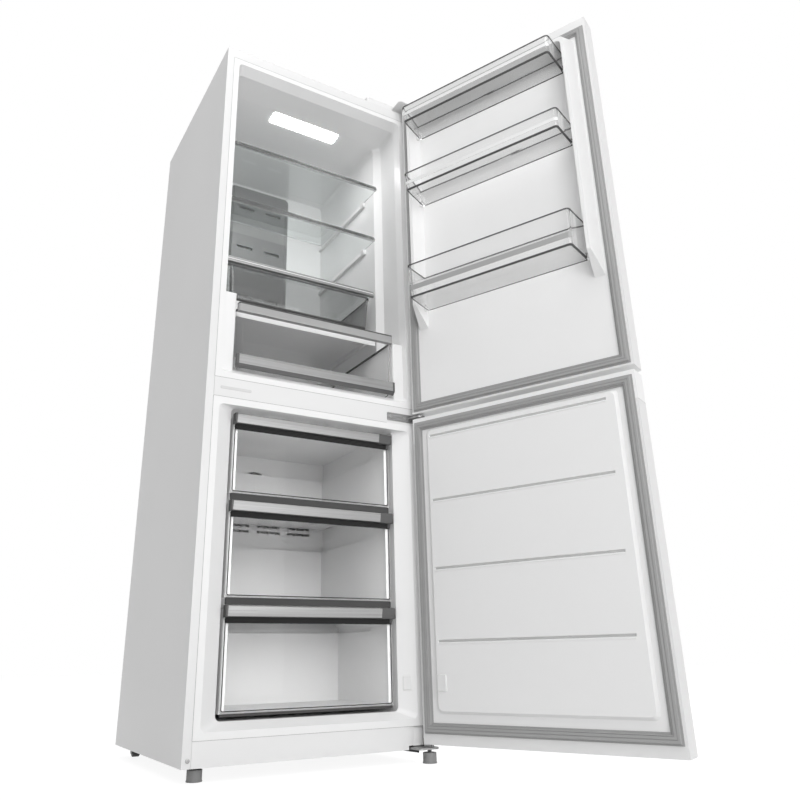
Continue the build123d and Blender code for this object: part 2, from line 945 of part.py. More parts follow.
with BuildPart() as bottom_hinge:
    with BuildSketch(level(bottom_hinge_low)) as plate_outline:
        with BuildLine():
            plate_right = pivot_x + 10.5
            plate_rear_right = opening_half - groove
            Polyline(
                (bottom_hinge_left, bottom_hinge_back),
                (bottom_hinge_left, hinge_front),
                (plate_right, hinge_front),
                (plate_right, -2),
                (plate_rear_right, -2),
                (plate_rear_right, bottom_hinge_back),
                close=True,
            )
        make_face()
        fillet(plate_outline.vertices().group_by(Axis.Y)[0], 10)
        with Locations((right_foot_x, right_foot_y)):
            Circle(foot_stem_radius + thread_clearance, mode=Mode.SUBTRACT)
    extrude(amount=bottom_hinge_sheet)
    hinge_pin(bottom_hinge_top, lower_door_bottom + pin_engagement)
save(bottom_hinge, "bottom_hinge")

# Screw heads of the hinges and of the plinth.
with BuildPart() as hinge_screws:
    middle_level = (middle_hinge_low + middle_hinge_high) / 2
    for x in (middle_hinge_left + 10, middle_hinge_left + 54):
        extrude(disc(upright(-middle_plate), x, middle_level, screw_radius), amount=screw_head)
    extrude(disc(upright(0), -half_width + 12, 42, screw_radius), amount=screw_head / 2)
    for x in (top_hinge_left + 12, top_hinge_right - 12):
        screw_plane = level(cabinet_top + hinge_sheet)
        extrude(disc(screw_plane, x, top_hinge_back - 14, screw_radius), amount=screw_head)
    for x in (bottom_hinge_left + 9, opening_half - 10):
        screw_plane = level(bottom_hinge_top)
        extrude(disc(screw_plane, x, bottom_hinge_back - 9, screw_radius), amount=screw_head)
save(hinge_screws, "hinge_screws")

# ---------------------------------------------------------------- cooling parts

# Welded compressor shell: a turned can with two domes, a weld flange and its tube stubs.
compressor_low = ground_clearance + base_sheet + mount_height
compressor_top = compressor_low + compressor_height
with BuildPart() as compressor:
    shell_plane = Plane(origin=(compressor_x, compressor_y, 0), x_dir=(1, 0, 0), z_dir=(0, -1, 0))
    with BuildSketch(shell_plane):
        with BuildLine():
            weld_level = compressor_low + weld_rise
            Polyline(
                (0, compressor_low),
                (compressor_radius - dome, compressor_low),
                (compressor_radius - dome / 4, compressor_low + dome / 4),
                (compressor_radius, compressor_low + dome),
                (compressor_radius, weld_level),
                (compressor_radius + weld_reach, weld_level),
                (compressor_radius + weld_reach, weld_level + weld_height),
                (compressor_radius, weld_level + weld_height),
                (compressor_radius, compressor_top - dome),
                (compressor_radius - dome / 4, compressor_top - dome / 4),
                (compressor_radius - dome, compressor_top),
                (0, compressor_top),
                close=True,
            )
        make_face()
    revolve(axis=Axis((compressor_x, compressor_y, 0), (0, 0, 1)))
    # Base plate with its four mounting ears.
    with BuildSketch(level(compressor_low)):
        with Locations((compressor_x, compressor_y)):
            Rectangle(mount_spread + 40, mount_spread + 4)
    extrude(amount=3)
    # Suction and discharge stubs, and the box over the terminals.
    for stub_x in (-34, 28):
        extrude(disc(level(compressor_top - 6), compressor_x + stub_x, compressor_y, 4), amount=28)
    terminal_x = compressor_x - compressor_radius
    extrude(
        panel(
            Plane.YZ.offset(terminal_x + 12),
            compressor_y - 26,
            compressor_y + 26,
            compressor_low + 22,
            compressor_low + 66,
            5,
        ),
        amount=-36,
    )
save(compressor, "compressor")

with BuildPart() as compressor_mounts:
    with BuildSketch(level(ground_clearance + base_sheet)):
        with Locations((compressor_x, compressor_y)):
            with GridLocations(mount_spread + 16, mount_spread - 24, 2, 2):
                Circle(mount_radius)
    extrude(amount=mount_height)
save(compressor_mounts, "compressor_mounts")

# Slotted cover over the compressor space.
cover_half = base_half - base_sheet
cover_low = ground_clearance + base_sheet
cover_face = cabinet_depth - 2 * sheet
cover_slot_x = cover_half - cover_slot_margin - cover_slot_length / 2
with BuildPart() as compressor_cover:
    extrude(panel(upright(cover_face - 1), -cover_half, cover_half, cover_low, back_panel_low, 2), amount=-1)
    with BuildSketch(upright(cover_face - 1)):
        with Locations((0, cover_low + cover_slot_rise)):
            with GridLocations(2 * cover_slot_x, cover_slot_pitch, 2, cover_slot_rows):
                Rectangle(cover_slot_length, cover_slot_width)
    extrude(amount=-1, mode=Mode.SUBTRACT)
save(compressor_cover, "compressor_cover")

# Tray for the melt water, on the warm compressor.
tray_low = compressor_top
with BuildPart() as drip_tray:
    tray_outlines = []
    for tray_level, flare in ((tray_low, 0), (tray_low + tray_height, tray_draft)):
        tray_outline = panel(
            level(tray_level),
            tray_left - flare,
            tray_right + flare,
            compressor_y - tray_half_length - flare,
            compressor_y + tray_half_length + flare,
            tray_radius,
        )
        tray_outlines.append(tray_outline)
    loft(tray_outlines, ruled=True)
    offset(amount=-tray_wall, openings=drip_tray.faces().sort_by(Axis.Z)[-1])
save(drip_tray, "drip_tray")

# Finned coil: plates on a bent tube, with return bends at both ends.
fin_pitch = 2 * evaporator_half / fin_count
tube_pitch = (evaporator_high - evaporator_low) / tube_rows
tube_y = (evaporator_front + evaporator_back) / 2
with BuildPart() as evaporator:
    for fin in range(fin_count + 1):
        fin_plane = Plane.YZ.offset(-evaporator_half + fin * fin_pitch - fin_thickness / 2)
        # The end plates reach back to the rear wall, and carry the coil.
        fin_back = compartment_depth if fin in (0, fin_count) else evaporator_back
        extrude(
            panel(fin_plane, evaporator_front, fin_back, evaporator_low, evaporator_high),
            amount=fin_thickness,
        )
    for row in range(tube_rows):
        tube_level = evaporator_low + (row + 0.5) * tube_pitch
        tube_plane = Plane.YZ.offset(-evaporator_half - fin_thickness)
        extrude(
            panel(
                tube_plane,
                tube_y - tube_radius,
                tube_y + tube_radius,
                tube_level - tube_radius,
                tube_level + tube_radius,
            ),
            amount=2 * (evaporator_half + fin_thickness),
        )
    for bend in range(tube_rows - 1):
        side = 1 if bend % 2 else -1
        bend_level = evaporator_low + (bend + 1) * tube_pitch
        bend_plane = upright(tube_y - tube_radius)
        with BuildSketch(bend_plane):
            with Locations((side * (evaporator_half + fin_thickness), bend_level)):
                Circle(tube_pitch / 2 + tube_radius)
                Circle(tube_pitch / 2 - tube_radius, mode=Mode.SUBTRACT)
                with Locations((-side * tube_pitch / 2, 0)):
                    Rectangle(tube_pitch, 2 * tube_pitch, mode=Mode.SUBTRACT)
        extrude(amount=-2 * tube_radius)
save(evaporator, "evaporator")

# Panel between the drawers and the coil, with the fan's mouth and rows of air slots.
air_panel_half = freezer_half_width
air_panel_low = hump_top
air_panel_high = freezer_mouth_ceiling
with BuildPart() as freezer_air_panel:
    extrude(
        panel(upright(air_panel_front), -air_panel_half, air_panel_half, air_panel_low, air_panel_high),
        amount=-air_panel_lip,
    )
    extrude(
        panel(
            upright(air_panel_front + air_panel_thickness),
            air_panel_thickness - air_panel_half,
            air_panel_half - air_panel_thickness,
            air_panel_low + air_panel_thickness,
            air_panel_high - air_panel_thickness,
            4,
        ),
        amount=-air_panel_lip,
        mode=Mode.SUBTRACT,
    )
    with BuildSketch(upright(air_panel_front)):
        for column in (-fan_slot_shift, fan_slot_shift):
            with Locations((column, fan_level)):
                with GridLocations(1, fan_slot_pitch, 1, 4):
                    Rectangle(fan_slot_length, air_slot_height)
        for row_level in (hump_top + lower_return_rise, fan_level - upper_return_drop):
            with Locations((0, row_level)):
                with GridLocations(return_slot_pitch, return_slot_spacing, return_slot_count, 2):
                    Rectangle(return_slot_length, air_slot_height)
        with Locations((0, fan_level)):
            Circle(fan_radius - grille_rim)
            Circle(fan_hub_radius + grille_rim, mode=Mode.SUBTRACT)
    extrude(amount=-air_panel_thickness, mode=Mode.SUBTRACT)
    # Spokes hold the grille's middle.
    with BuildSketch(upright(air_panel_front)):
        with Locations((0, fan_level)):
            with PolarLocations(0, grille_spokes):
                with Locations(((fan_radius + fan_hub_radius) / 2, 0)):
                    Rectangle(fan_radius - fan_hub_radius, grille_spoke_width)
    extrude(amount=-air_panel_thickness)
save(freezer_air_panel, "freezer_air_panel")

# Fan: twisted blades on a hub, turning on the motor's shaft.
fan_back = fan_front + fan_depth
with BuildPart() as fan_impeller:
    hub_plane = upright(fan_back)
    extrude(disc(hub_plane, 0, fan_level, fan_hub_radius), amount=fan_depth)
    blade_root = fan_hub_radius - 3
    blade_tip = fan_radius - 6
    for blade in range(fan_blades):
        turn = radians(360 * blade / fan_blades)
        outward = (cos(turn), 0, sin(turn))
        sections = []
        for reach, twist, chord in ((blade_root, fan_blade_twist + 14, 12), (blade_tip, fan_blade_twist, 15)):
            middle = (reach * outward[0], (fan_front + fan_back) / 2, fan_level + reach * outward[2])
            with BuildSketch(Plane(origin=middle, x_dir=(0, 1, 0), z_dir=outward)) as blade_section:
                Rectangle(chord, 1.6, rotation=90 - twist)
            sections.append(blade_section.sketch)
        loft(sections, ruled=True)
    shaft_bore = disc(hub_plane, 0, fan_level, fan_shaft_radius + axle_clearance)
    extrude(shaft_bore, amount=fan_depth - fan_hub_front, mode=Mode.SUBTRACT)
save(fan_impeller, "fan_impeller")

with BuildPart() as fan_motor:
    motor_front = fan_back + 3
    extrude(disc(upright(motor_front), 0, fan_level, motor_radius), amount=motor_front - compartment_depth)
    extrude(disc(upright(fan_front + 6), 0, fan_level, fan_shaft_radius), amount=fan_front + 6 - motor_front)
    # Three-armed bracket screwed to the rear wall.
    with BuildSketch(upright(compartment_depth)):
        with Locations((0, fan_level)):
            with PolarLocations(0, 3, start_angle=90):
                with Locations((motor_radius, 0)):
                    Rectangle(motor_radius + 20, 12)
    extrude(amount=4)
save(fan_motor, "fan_motor")

# Air duct up the fridge's rear wall, with outlets to both sides of each shelf space.
duct_front = compartment_depth - duct_rise
with BuildPart() as fridge_air_duct:
    with BuildSketch(level(duct_low)) as duct_outline:
        with BuildLine():
            Polyline(
                (-duct_half, compartment_depth),
                (duct_slope - duct_half, duct_front),
                (duct_half - duct_slope, duct_front),
                (duct_half, compartment_depth),
                close=True,
            )
        make_face()
        fillet(duct_outline.vertices().group_by(Axis.Y)[0], 6)
    extrude(amount=duct_high - duct_low)
    extrude(
        panel(
            level(duct_low + liner_wall),
            2 * duct_slope - duct_half,
            duct_half - 2 * duct_slope,
            duct_front + liner_wall,
            compartment_depth,
        ),
        amount=duct_high - duct_low - 2 * liner_wall,
        mode=Mode.SUBTRACT,
    )
    with BuildSketch(upright(duct_front)):
        for outlet_level in (top_shelf_level + 70, middle_shelf_level + 90, crisper_cover_level + 90):
            with Locations((0, outlet_level)):
                with GridLocations(96, 1, 2, 1):
                    Rectangle(54, 9)
    extrude(amount=-liner_wall, mode=Mode.SUBTRACT)
save(fridge_air_duct, "fridge_air_duct")

# Lamp let into the fridge's ceiling: a lens, and the housing above it.
with BuildPart() as ceiling_light:
    lens_plane = level(fridge_ceiling - 0.5)
    extrude(
        panel(
            lens_plane,
            lamp_gap - lamp_half,
            lamp_half - lamp_gap,
            lamp_front + lamp_gap,
            lamp_back - lamp_gap,
            4,
        ),
        amount=lamp_lens,
    )
    lamp_flange = panel(
        level(fridge_ceiling + liner_wall),
        -lamp_half - lamp_rim,
        lamp_half + lamp_rim,
        lamp_front - lamp_rim,
        lamp_back + lamp_rim,
        6,
    )
    extrude(lamp_flange, amount=lamp_housing)
save(ceiling_light, "ceiling_light")

# Small cover of the door sensor, on the right side of the freezer's lead-in.
lead_in_run = freezer_mouth[1][0]
lead_in_fall = mouth_half_width - freezer_half_width
lead_in_length = (lead_in_run**2 + lead_in_fall**2) ** 0.5
lead_in_middle = (
    (mouth_half_width + freezer_half_width) / 2,
    lead_in_run / 2,
    (sensor_low + sensor_high) / 2,
)
lead_in_normal = (-lead_in_run / lead_in_length, -lead_in_fall / lead_in_length, 0)
lead_in_along = (-lead_in_fall / lead_in_length, lead_in_run / lead_in_length, 0)
with BuildPart() as door_sensor:
    with BuildSketch(Plane(origin=lead_in_middle, x_dir=lead_in_along, z_dir=lead_in_normal)):
        RectangleRounded(sensor_width, sensor_high - sensor_low, 2)
    extrude(amount=sensor_thickness, taper=12)
save(door_sensor, "door_sensor")

# ---------------------------------------------------------------- shelves

for shelf_level, shelf_front, name in (
    (top_shelf_level, top_shelf_front, "top_shelf_glass"),
    (middle_shelf_level, middle_shelf_front, "middle_shelf_glass"),
    (crisper_cover_level, crisper_cover_front, "crisper_cover_glass"),
):
    with BuildPart() as glass:
        glass_front = shelf_front + shelf_trim_depth / 3
        extrude(
            panel(level(shelf_level - shelf_glass), -shelf_half, shelf_half, glass_front, shelf_back, 2),
            amount=shelf_glass,
        )
    save(glass, name)

# Edge strip gripping the front of each glass shelf.
with BuildPart() as shelf_trims:
    for shelf_level, shelf_front in (
        (top_shelf_level, top_shelf_front),
        (middle_shelf_level, middle_shelf_front),
    ):
        with BuildSketch(Plane.YZ) as strip:
            strip_low = shelf_level - (shelf_trim_height + shelf_glass) / 2
            add(
                panel(
                    Plane.XY,
                    shelf_front,
                    shelf_front + shelf_trim_depth,
                    strip_low,
                    strip_low + shelf_trim_height,
                    2,
                )
            )
            add(
                panel(
                    Plane.XY,
                    shelf_front + shelf_trim_depth / 3,
                    shelf_front + 2 * shelf_trim_depth,
                    shelf_level - shelf_glass,
                    shelf_level,
                ),
                mode=Mode.SUBTRACT,
            )
        extrude(amount=shelf_half, both=True)
save(shelf_trims, "shelf_trims")

# Deeper ribbed trim along the front of the crisper's cover.
with BuildPart() as crisper_cover_trim:
    trim_low = crisper_cover_level - crisper_cover_height + 2
    with BuildSketch(Plane.YZ) as ribbed:
        add(
            panel(
                Plane.XY,
                crisper_cover_front,
                crisper_cover_front + shelf_trim_depth,
                trim_low,
                trim_low + crisper_cover_height,
                2,
            )
        )
        add(
            panel(
                Plane.XY,
                crisper_cover_front + shelf_trim_depth / 3,
                crisper_cover_front + 2 * shelf_trim_depth,
                crisper_cover_level - shelf_glass,
                crisper_cover_level,
            ),
            mode=Mode.SUBTRACT,
        )
        with Locations((crisper_cover_front, trim_low + crisper_cover_height / 2)):
            with GridLocations(1, crisper_cover_height / 3, 1, 2):
                Rectangle(2, 1.2, mode=Mode.SUBTRACT)
    extrude(amount=shelf_half, both=True)
save(crisper_cover_trim, "crisper_cover_trim")

# Divider under the upper crisper, with a turned-down front edge and two guide ribs.
divider_half = fridge_narrow_half - divider_gap
with BuildPart() as crisper_divider:
    with BuildSketch(Plane.YZ) as divider_side:
        with BuildLine():
            Polyline(
                (divider_front + divider_edge, divider_seat - divider_lip),
                (divider_front, divider_seat - divider_lip),
                (divider_front, divider_level),
                (shelf_back, divider_level),
                (shelf_back, divider_seat),
                (divider_front + divider_edge, divider_seat),
                close=True,
            )
        make_face()
        fillet(divider_side.vertices().sort_by(Axis.Y)[-2:].sort_by(Axis.X)[0], 3)
    extrude(amount=divider_half, both=True)
    for side in (-1, 1):
        rib_x = side * (upper_crisper_half - 14)
        extrude(
            panel(level(divider_level), rib_x - 2, rib_x + 2, upper_crisper_front + 12, upper_crisper_back),
            amount=upper_crisper_low - divider_level - 1,
        )
save(crisper_divider, "crisper_divider")

# ---------------------------------------------------------------- crispers


def open_box(half, front, back, low, high, wall, draft, corner):
    """Open-topped moulded box, narrower at its floor by the draft on each side."""
    with BuildPart() as box:
        outside = [
            panel(level(low), draft - half, half - draft, front + draft / 2, back - draft / 2, corner),
            panel(level(high), -half, half, front, back, corner),
        ]
        inside = [
            panel(
                level(low + wall),
                draft + wall - half,
                half - draft - wall,
                front + draft / 2 + wall,
                back - draft / 2 - wall,
                corner - wall,
            ),
            panel(level(high), wall - half, half - wall, front + wall, back - wall, corner - wall),
        ]
        loft(outside, ruled=True)
        loft(inside, ruled=True, mode=Mode.SUBTRACT)
    return box.part


with BuildPart() as upper_crisper:
    add(
        open_box(
            upper_crisper_half,
            upper_crisper_front,
            upper_crisper_back,
            upper_crisper_low,
            upper_crisper_high,
            crisper_wall,
            crisper_draft,
            crisper_corner,
        )
    )
    # Rolled grip along the top of the front.
    with BuildSketch(Plane.YZ):
        with BuildLine():
            grip_back = upper_crisper_front + crisper_wall
            Polyline(
                (grip_back, upper_crisper_high),
                (upper_crisper_front - 3, upper_crisper_high),
                (upper_crisper_front - 3, upper_crisper_high - 9),
                (upper_crisper_front, upper_crisper_high - 12),
                (grip_back, upper_crisper_high - 12),
                close=True,
            )
        make_face()
    extrude(amount=upper_crisper_half - crisper_corner, both=True)
save(upper_crisper, "upper_crisper")

with BuildPart() as lower_crisper:
    add(
        open_box(
            lower_crisper_half,
            lower_crisper_front,
            lower_crisper_back,
            lower_crisper_low,
            lower_crisper_high,
            crisper_wall,
            crisper_draft,
            crisper_corner,
        )
    )
save(lower_crisper, "lower_crisper")

# Front bar along the crisper's lower edge, and the dark lip over its upper edge.
crisper_slant = crisper_draft / 2 / (lower_crisper_high - lower_crisper_low)


def crisper_face(height):
    """How far back the crisper's leaning front wall is, at a height."""
    return lower_crisper_front + crisper_slant * (lower_crisper_high - height)


with BuildPart() as lower_crisper_trim:
    with BuildSketch(Plane.YZ):
        with BuildLine():
            Polyline(
                (crisper_face(crisper_bar_low), crisper_bar_low),
                (crisper_face(crisper_bar_low) - crisper_bar_depth + 2, crisper_bar_low),
                (crisper_face(crisper_bar_low) - crisper_bar_depth, crisper_bar_low + 3),
                (crisper_face(crisper_bar_high) - crisper_bar_depth, crisper_bar_high - 2),
                (crisper_face(crisper_bar_high) - crisper_bar_depth + 2, crisper_bar_high),
                (crisper_face(crisper_bar_high), crisper_bar_high),
                close=True,
            )
        make_face()
    extrude(amount=lower_crisper_half - crisper_draft - crisper_corner + 10, both=True)
    with BuildSketch(Plane.YZ):
        with BuildLine():
            lip_low = lower_crisper_high - crisper_lip_height
            lip_front = lower_crisper_front - 3
            Polyline(
                (crisper_face(lip_low), lip_low),
                (lip_front, lip_low),
                (lip_front, lower_crisper_high + 2),
                (lower_crisper_front + crisper_lip_depth, lower_crisper_high + 2),
                (lower_crisper_front + crisper_lip_depth, lower_crisper_high),
                (lower_crisper_front, lower_crisper_high),
                close=True,
            )
        make_face()
    extrude(amount=lower_crisper_half - crisper_corner, both=True)
save(lower_crisper_trim, "lower_crisper_trim")

# ---------------------------------------------------------------- freezer drawers

for number, (low, high) in enumerate(zip(drawer_lows, drawer_highs), start=1):
    depth = short_drawer_depth if low == drawer_lows[-1] else drawer_depth
    face_back = drawer_front + drawer_front_thickness
    rear = drawer_front + depth
    rim = high - drawer_bar_height
    with BuildPart() as drawer_box:
        extrude(panel(level(low), -drawer_half, drawer_half, face_back, rear), amount=high - low)
        extrude(
            panel(
                level(low + drawer_wall),
                drawer_wall - drawer_half,
                drawer_half - drawer_wall,
                face_back,
                rear - drawer_wall,
            ),
            amount=high - low,
            mode=Mode.SUBTRACT,
        )
        # The side walls step down towards the back.
        with BuildSketch(Plane.YZ.offset(-drawer_half)) as step_outline:
            with BuildLine():
                step = (high - low) / 5
                Polyline(
                    (face_back + 60, high),
                    (face_back + 60 + step, high - step),
                    (rear, high - step),
                    (rear, high + 1),
                    (face_back + 60, high + 1),
                    close=True,
                )
            make_face()
        extrude(amount=2 * drawer_half, mode=Mode.SUBTRACT)
        for side in (-1, 1):
            runner_inner = side * drawer_half
            runner_outer = side * (drawer_half + runner_reach)
            extrude(
                panel(
                    level(high - runner_drop),
                    min(runner_inner, runner_outer),
                    max(runner_inner, runner_outer),
                    rail_front + 8,
                    rear,
                ),
                amount=runner_thickness,
            )
    save(drawer_box, f"drawer_{number}_box")
    with BuildPart() as drawer_window:
        extrude(
            panel(upright(drawer_front), -drawer_half, drawer_half, low, rim, drawer_corner),
            amount=-drawer_front_thickness,
        )
    save(drawer_window, f"drawer_{number}_window")
    with BuildPart() as drawer_bar:
        with BuildSketch(Plane.YZ.offset(-drawer_half)) as bar_outline:
            with BuildLine():
                bar_front = drawer_front - drawer_bar_reach
                Polyline(
                    (face_back, rim),
                    (face_back, high),
                    (bar_front + 3, high),
                    (bar_front, high - 3),
                    (bar_front + 3, rim),
                    close=True,
                )
            make_face()
        extrude(amount=2 * drawer_half)
    save(drawer_bar, f"drawer_{number}_bar")

# ---------------------------------------------------------------- doors


def door_outline(plane, inset, back, radius):
    """A door from above, set in from its front and sides, with round front corners."""
    with BuildSketch(plane) as outline:
        with Locations((0, (door_front + inset + back) / 2)):
            Rectangle(door_width - 2 * inset, back - door_front - inset)
        fillet(outline.vertices().group_by(Axis.Y)[0], radius)
    return outline.sketch


def door_skin(swung, low, high, lip_low, lip_high):
    """Steel sheet folded round a door's front and sides, with narrow lips beside the seal."""
    skin_plane = hang(swung, level(low))
    with BuildPart() as skin:
        extrude(door_outline(skin_plane, 0, door_back, door_edge_radius), amount=high - low)
        extrude(
            door_outline(skin_plane, sheet, door_back + sheet, door_edge_radius - sheet),
            amount=high - low,
            mode=Mode.SUBTRACT,
        )
        for side in (-1, 1):
            lip_inner = side * flange_half
            lip_outer = side * (door_half - sheet / 2)
            extrude(
                panel(
                    hang(swung, level(lip_low)),
                    min(lip_inner, lip_outer),
                    max(lip_inner, lip_outer),
                    door_back - sheet,
                    door_back,
                ),
                amount=lip_high - lip_low,
            )
    return skin.part


def hinge_bush(swung, low, high, bore_low, bore_high):
    """Boss round the hinge pin, with its bore, added to the cap being built."""
    extrude(disc(hang(swung, level(low)), pivot_x, pivot_y, bush_radius), amount=high - low)
    extrude(
        disc(hang(swung, level(bore_low)), pivot_x, pivot_y, pin_radius + pin_clearance),
        amount=bore_high - bore_low,
        mode=Mode.SUBTRACT,
    )


def end_cap(swung, low, high, opens_upwards):
    """Shallow plastic tray that closes one end of a door, without its hinge bush."""
    hollow_low = low + cap_wall if opens_upwards else low
    with BuildPart() as cap:
        cap_radius = door_edge_radius
        extrude(door_outline(hang(swung, level(low)), sheet, door_back, cap_radius), amount=high - low)
        extrude(
            door_outline(
                hang(swung, level(hollow_low)),
                sheet + cap_wall,
                door_back - cap_wall,
                cap_radius - cap_wall,
            ),
            amount=high - low - cap_wall,
            mode=Mode.SUBTRACT,
        )
    return cap.part


def door_seal(swung, low, high):
    """Magnetic seal: a foot on the door, a narrow fold, and the head that meets the cabinet."""
    seal_depth = door_gap - seal_gap
    fold_inset = seal_width / 4
    with BuildPart() as seal:
        for start, thickness, inset in (
            (0, seal_foot, 0),
            (seal_foot, seal_depth - seal_foot - seal_head, fold_inset),
            (seal_depth - seal_head, seal_head, seal_head_inset),
        ):
            ring = frame(
                hang(swung, upright(door_back + start)),
                flange_half - inset,
                low + inset,
                high - inset,
                seal_width - 2 * inset,
                seal_corner,
            )
            extrude(ring, amount=-thickness)
    return seal.part


upper = swing(upper_opening)
lower = swing(lower_opening)

# Upper door.
with BuildPart() as upper_door_skin:
    add(door_skin(upper, upper_door_bottom, upper_door_top, upper_seal_low, upper_seal_high))
save(upper_door_skin, "upper_door_skin")

bore_depth = pin_engagement + 1
bush_length = bore_depth + bush_end
with BuildPart() as upper_door_top_cap:
    add(end_cap(upper, upper_seal_high, upper_door_top, False))
    bush_low = upper_door_top - bush_length
    hinge_bush(upper, bush_low, upper_door_top, upper_door_top - bore_depth, upper_door_top)
save(upper_door_top_cap, "upper_door_top_cap")

with BuildPart() as upper_door_bottom_cap:
    add(end_cap(upper, upper_door_bottom, upper_seal_low, True))
    hinge_bush(
        upper,
        upper_door_bottom,
        upper_door_bottom + bush_length,
        upper_door_bottom,
        upper_door_bottom + bore_depth,
    )
save(upper_door_bottom_cap, "upper_door_bottom_cap")

with BuildPart() as upper_door_gasket:
    add(door_seal(upper, upper_seal_low, upper_seal_high))
save(upper_door_gasket, "upper_door_gasket")


def dyke_arch(depth, outer, inner, foot, top, under, inset):
    """Arch made by the two side dykes and the one across the top, at one depth."""
    with BuildSketch(hang(upper, upright(depth))) as arch:
        with BuildLine():
            Polyline(
                (inset - outer, foot + inset),
                (inset - outer, top - inset),
                (outer - inset, top - inset),
                (outer - inset, foot + inset),
                (inner + inset, foot + inset),
                (inner + inset, under + inset),
                (-inner - inset, under + inset),
                (-inner - inset, foot + inset),
                close=True,
            )
        make_face()
        corners = arch.vertices().group_by(Axis.Y)
        fillet(corners[-1] + corners[-2], dyke_corner)
    return arch.sketch


def dyke_form(root, crest, inset):
    """Solid of the dykes between two depths."""
    base_arch = dyke_arch(
        root,
        dyke_base_outer,
        dyke_base_inner,
        dyke_foot,
        dyke_base_top,
        dyke_base_under,
        inset,
    )
    crest_arch = dyke_arch(
        crest,
        dyke_crest_outer,
        dyke_crest_inner,
        dyke_foot + dyke_foot_slope,
        dyke_crest_top,
        dyke_crest_under,
        inset,
    )
    return [base_arch, crest_arch]


with BuildPart() as upper_door_liner:
    extrude(
        panel(hang(upper, upright(door_back)), -flange_half, flange_half, upper_seal_low, upper_seal_high),
        amount=door_liner_wall,
    )
    dyke_root = door_back - door_liner_wall
    loft(dyke_form(dyke_root, dyke_depth, 0), ruled=True)
    loft(dyke_form(dyke_root, dyke_depth - door_liner_wall, door_liner_wall), ruled=True, mode=Mode.SUBTRACT)
    # Pegs that the bins hang on.
    for bin_low, bin_high in bin_levels.values():
        for side in (-1, 1):
            peg_inner = side * (bin_back_half - bin_wall - 3)
            peg_outer = side * (dyke_base_inner + door_liner_wall)
            extrude(
                panel(
                    hang(upper, level(bin_low)),
                    min(peg_inner, peg_outer),
                    max(peg_inner, peg_outer),
                    bin_back + 1,
                    bin_peg_depth,
                ),
                amount=bin_notch,
            )
save(upper_door_liner, "upper_door_liner")


def bin_outline(height, inset, draft):
    """A bin from above, a little wider at the door, with round front corners."""
    with BuildSketch(hang(upper, level(height))) as outline:
        with BuildLine():
            back_half = bin_back_half - inset - draft
            front_half = bin_front_half - inset - draft
            Polyline(
                (-back_half, bin_back + inset),
                (-front_half, bin_front - inset - draft),
                (front_half, bin_front - inset - draft),
                (back_half, bin_back + inset),
                close=True,
            )
        make_face()
        fillet(outline.vertices().group_by(Axis.Y)[-1], bin_corner - inset)
    return outline.sketch


for name, (bin_low, bin_high) in bin_levels.items():
    with BuildPart() as bin_box:
        loft([bin_outline(bin_low, 0, bin_draft), bin_outline(bin_high, 0, 0)], ruled=True)
        loft(
            [bin_outline(bin_low + bin_wall, bin_wall, bin_draft), bin_outline(bin_high, bin_wall, 0)],
            ruled=True,
            mode=Mode.SUBTRACT,
        )
        for side in (-1, 1):
            notch_inner = side * (bin_back_half - bin_wall - 4)
            notch_outer = side * (bin_back_half + 2)
            extrude(
                panel(
                    hang(upper, level(bin_low)),
                    min(notch_inner, notch_outer),
                    max(notch_inner, notch_outer),
                    bin_back - 1,
                    bin_peg_depth + 1,
                ),
                amount=bin_notch,
                mode=Mode.SUBTRACT,
            )
    save(bin_box, name)

# Lower door.
with BuildPart() as lower_door_skin:
    add(door_skin(lower, lower_door_bottom, handle_cap_low, lower_seal_low, handle_cap_low))
save(lower_door_skin, "lower_door_skin")

with BuildPart() as lower_door_bottom_cap:
    add(end_cap(lower, lower_door_bottom, lower_seal_low, True))
    hinge_bush(
        lower,
        lower_door_bottom,
        lower_door_bottom + bush_length,
        lower_door_bottom,
        lower_door_bottom + bore_depth,
    )
save(lower_door_bottom_cap, "lower_door_bottom_cap")

# The lower door's top end is a deep cap with the grip moulded in.
with BuildPart() as lower_door_top_cap:
    cap_plane = hang(lower, level(handle_cap_low))
    cap_back = door_back - door_liner_wall
    extrude(door_outline(cap_plane, 0, door_back, door_edge_radius), amount=handle_cap_height)
    extrude(
        door_outline(cap_plane, cap_wall, cap_back - cap_wall, door_edge_radius - cap_wall),
        amount=handle_cap_height - cap_wall,
        mode=Mode.SUBTRACT,
    )
    extrude(
        panel(cap_plane, -flange_half, flange_half, cap_back, door_back + 1),
        amount=lower_seal_high - handle_cap_low,
        mode=Mode.SUBTRACT,
    )
    for grow, mode in ((cap_wall, Mode.ADD), (0, Mode.SUBTRACT)):
        scoop_floor = lower_door_top - scoop_depth - grow
        loft(
            [
                panel(
                    hang(lower, level(scoop_floor)),
                    scoop_draft - scoop_half - grow,
                    scoop_half - scoop_draft + grow,
                    scoop_front - grow,
                    scoop_back - scoop_draft + grow,
                    6 + grow,
                ),
                panel(
                    hang(lower, level(lower_door_top)),
                    -scoop_half - grow,
                    scoop_half + grow,
                    scoop_front - grow,
                    scoop_back + grow,
                    10 + grow,
                ),
            ],
            ruled=True,
            mode=mode,
        )
    bush_low = lower_door_top - bush_length
    hinge_bush(lower, bush_low, lower_door_top, lower_door_top - bore_depth, lower_door_top)
save(lower_door_top_cap, "lower_door_top_cap")

with BuildPart() as lower_door_gasket:
    add(door_seal(lower, lower_seal_low, lower_seal_high))
save(lower_door_gasket, "lower_door_gasket")


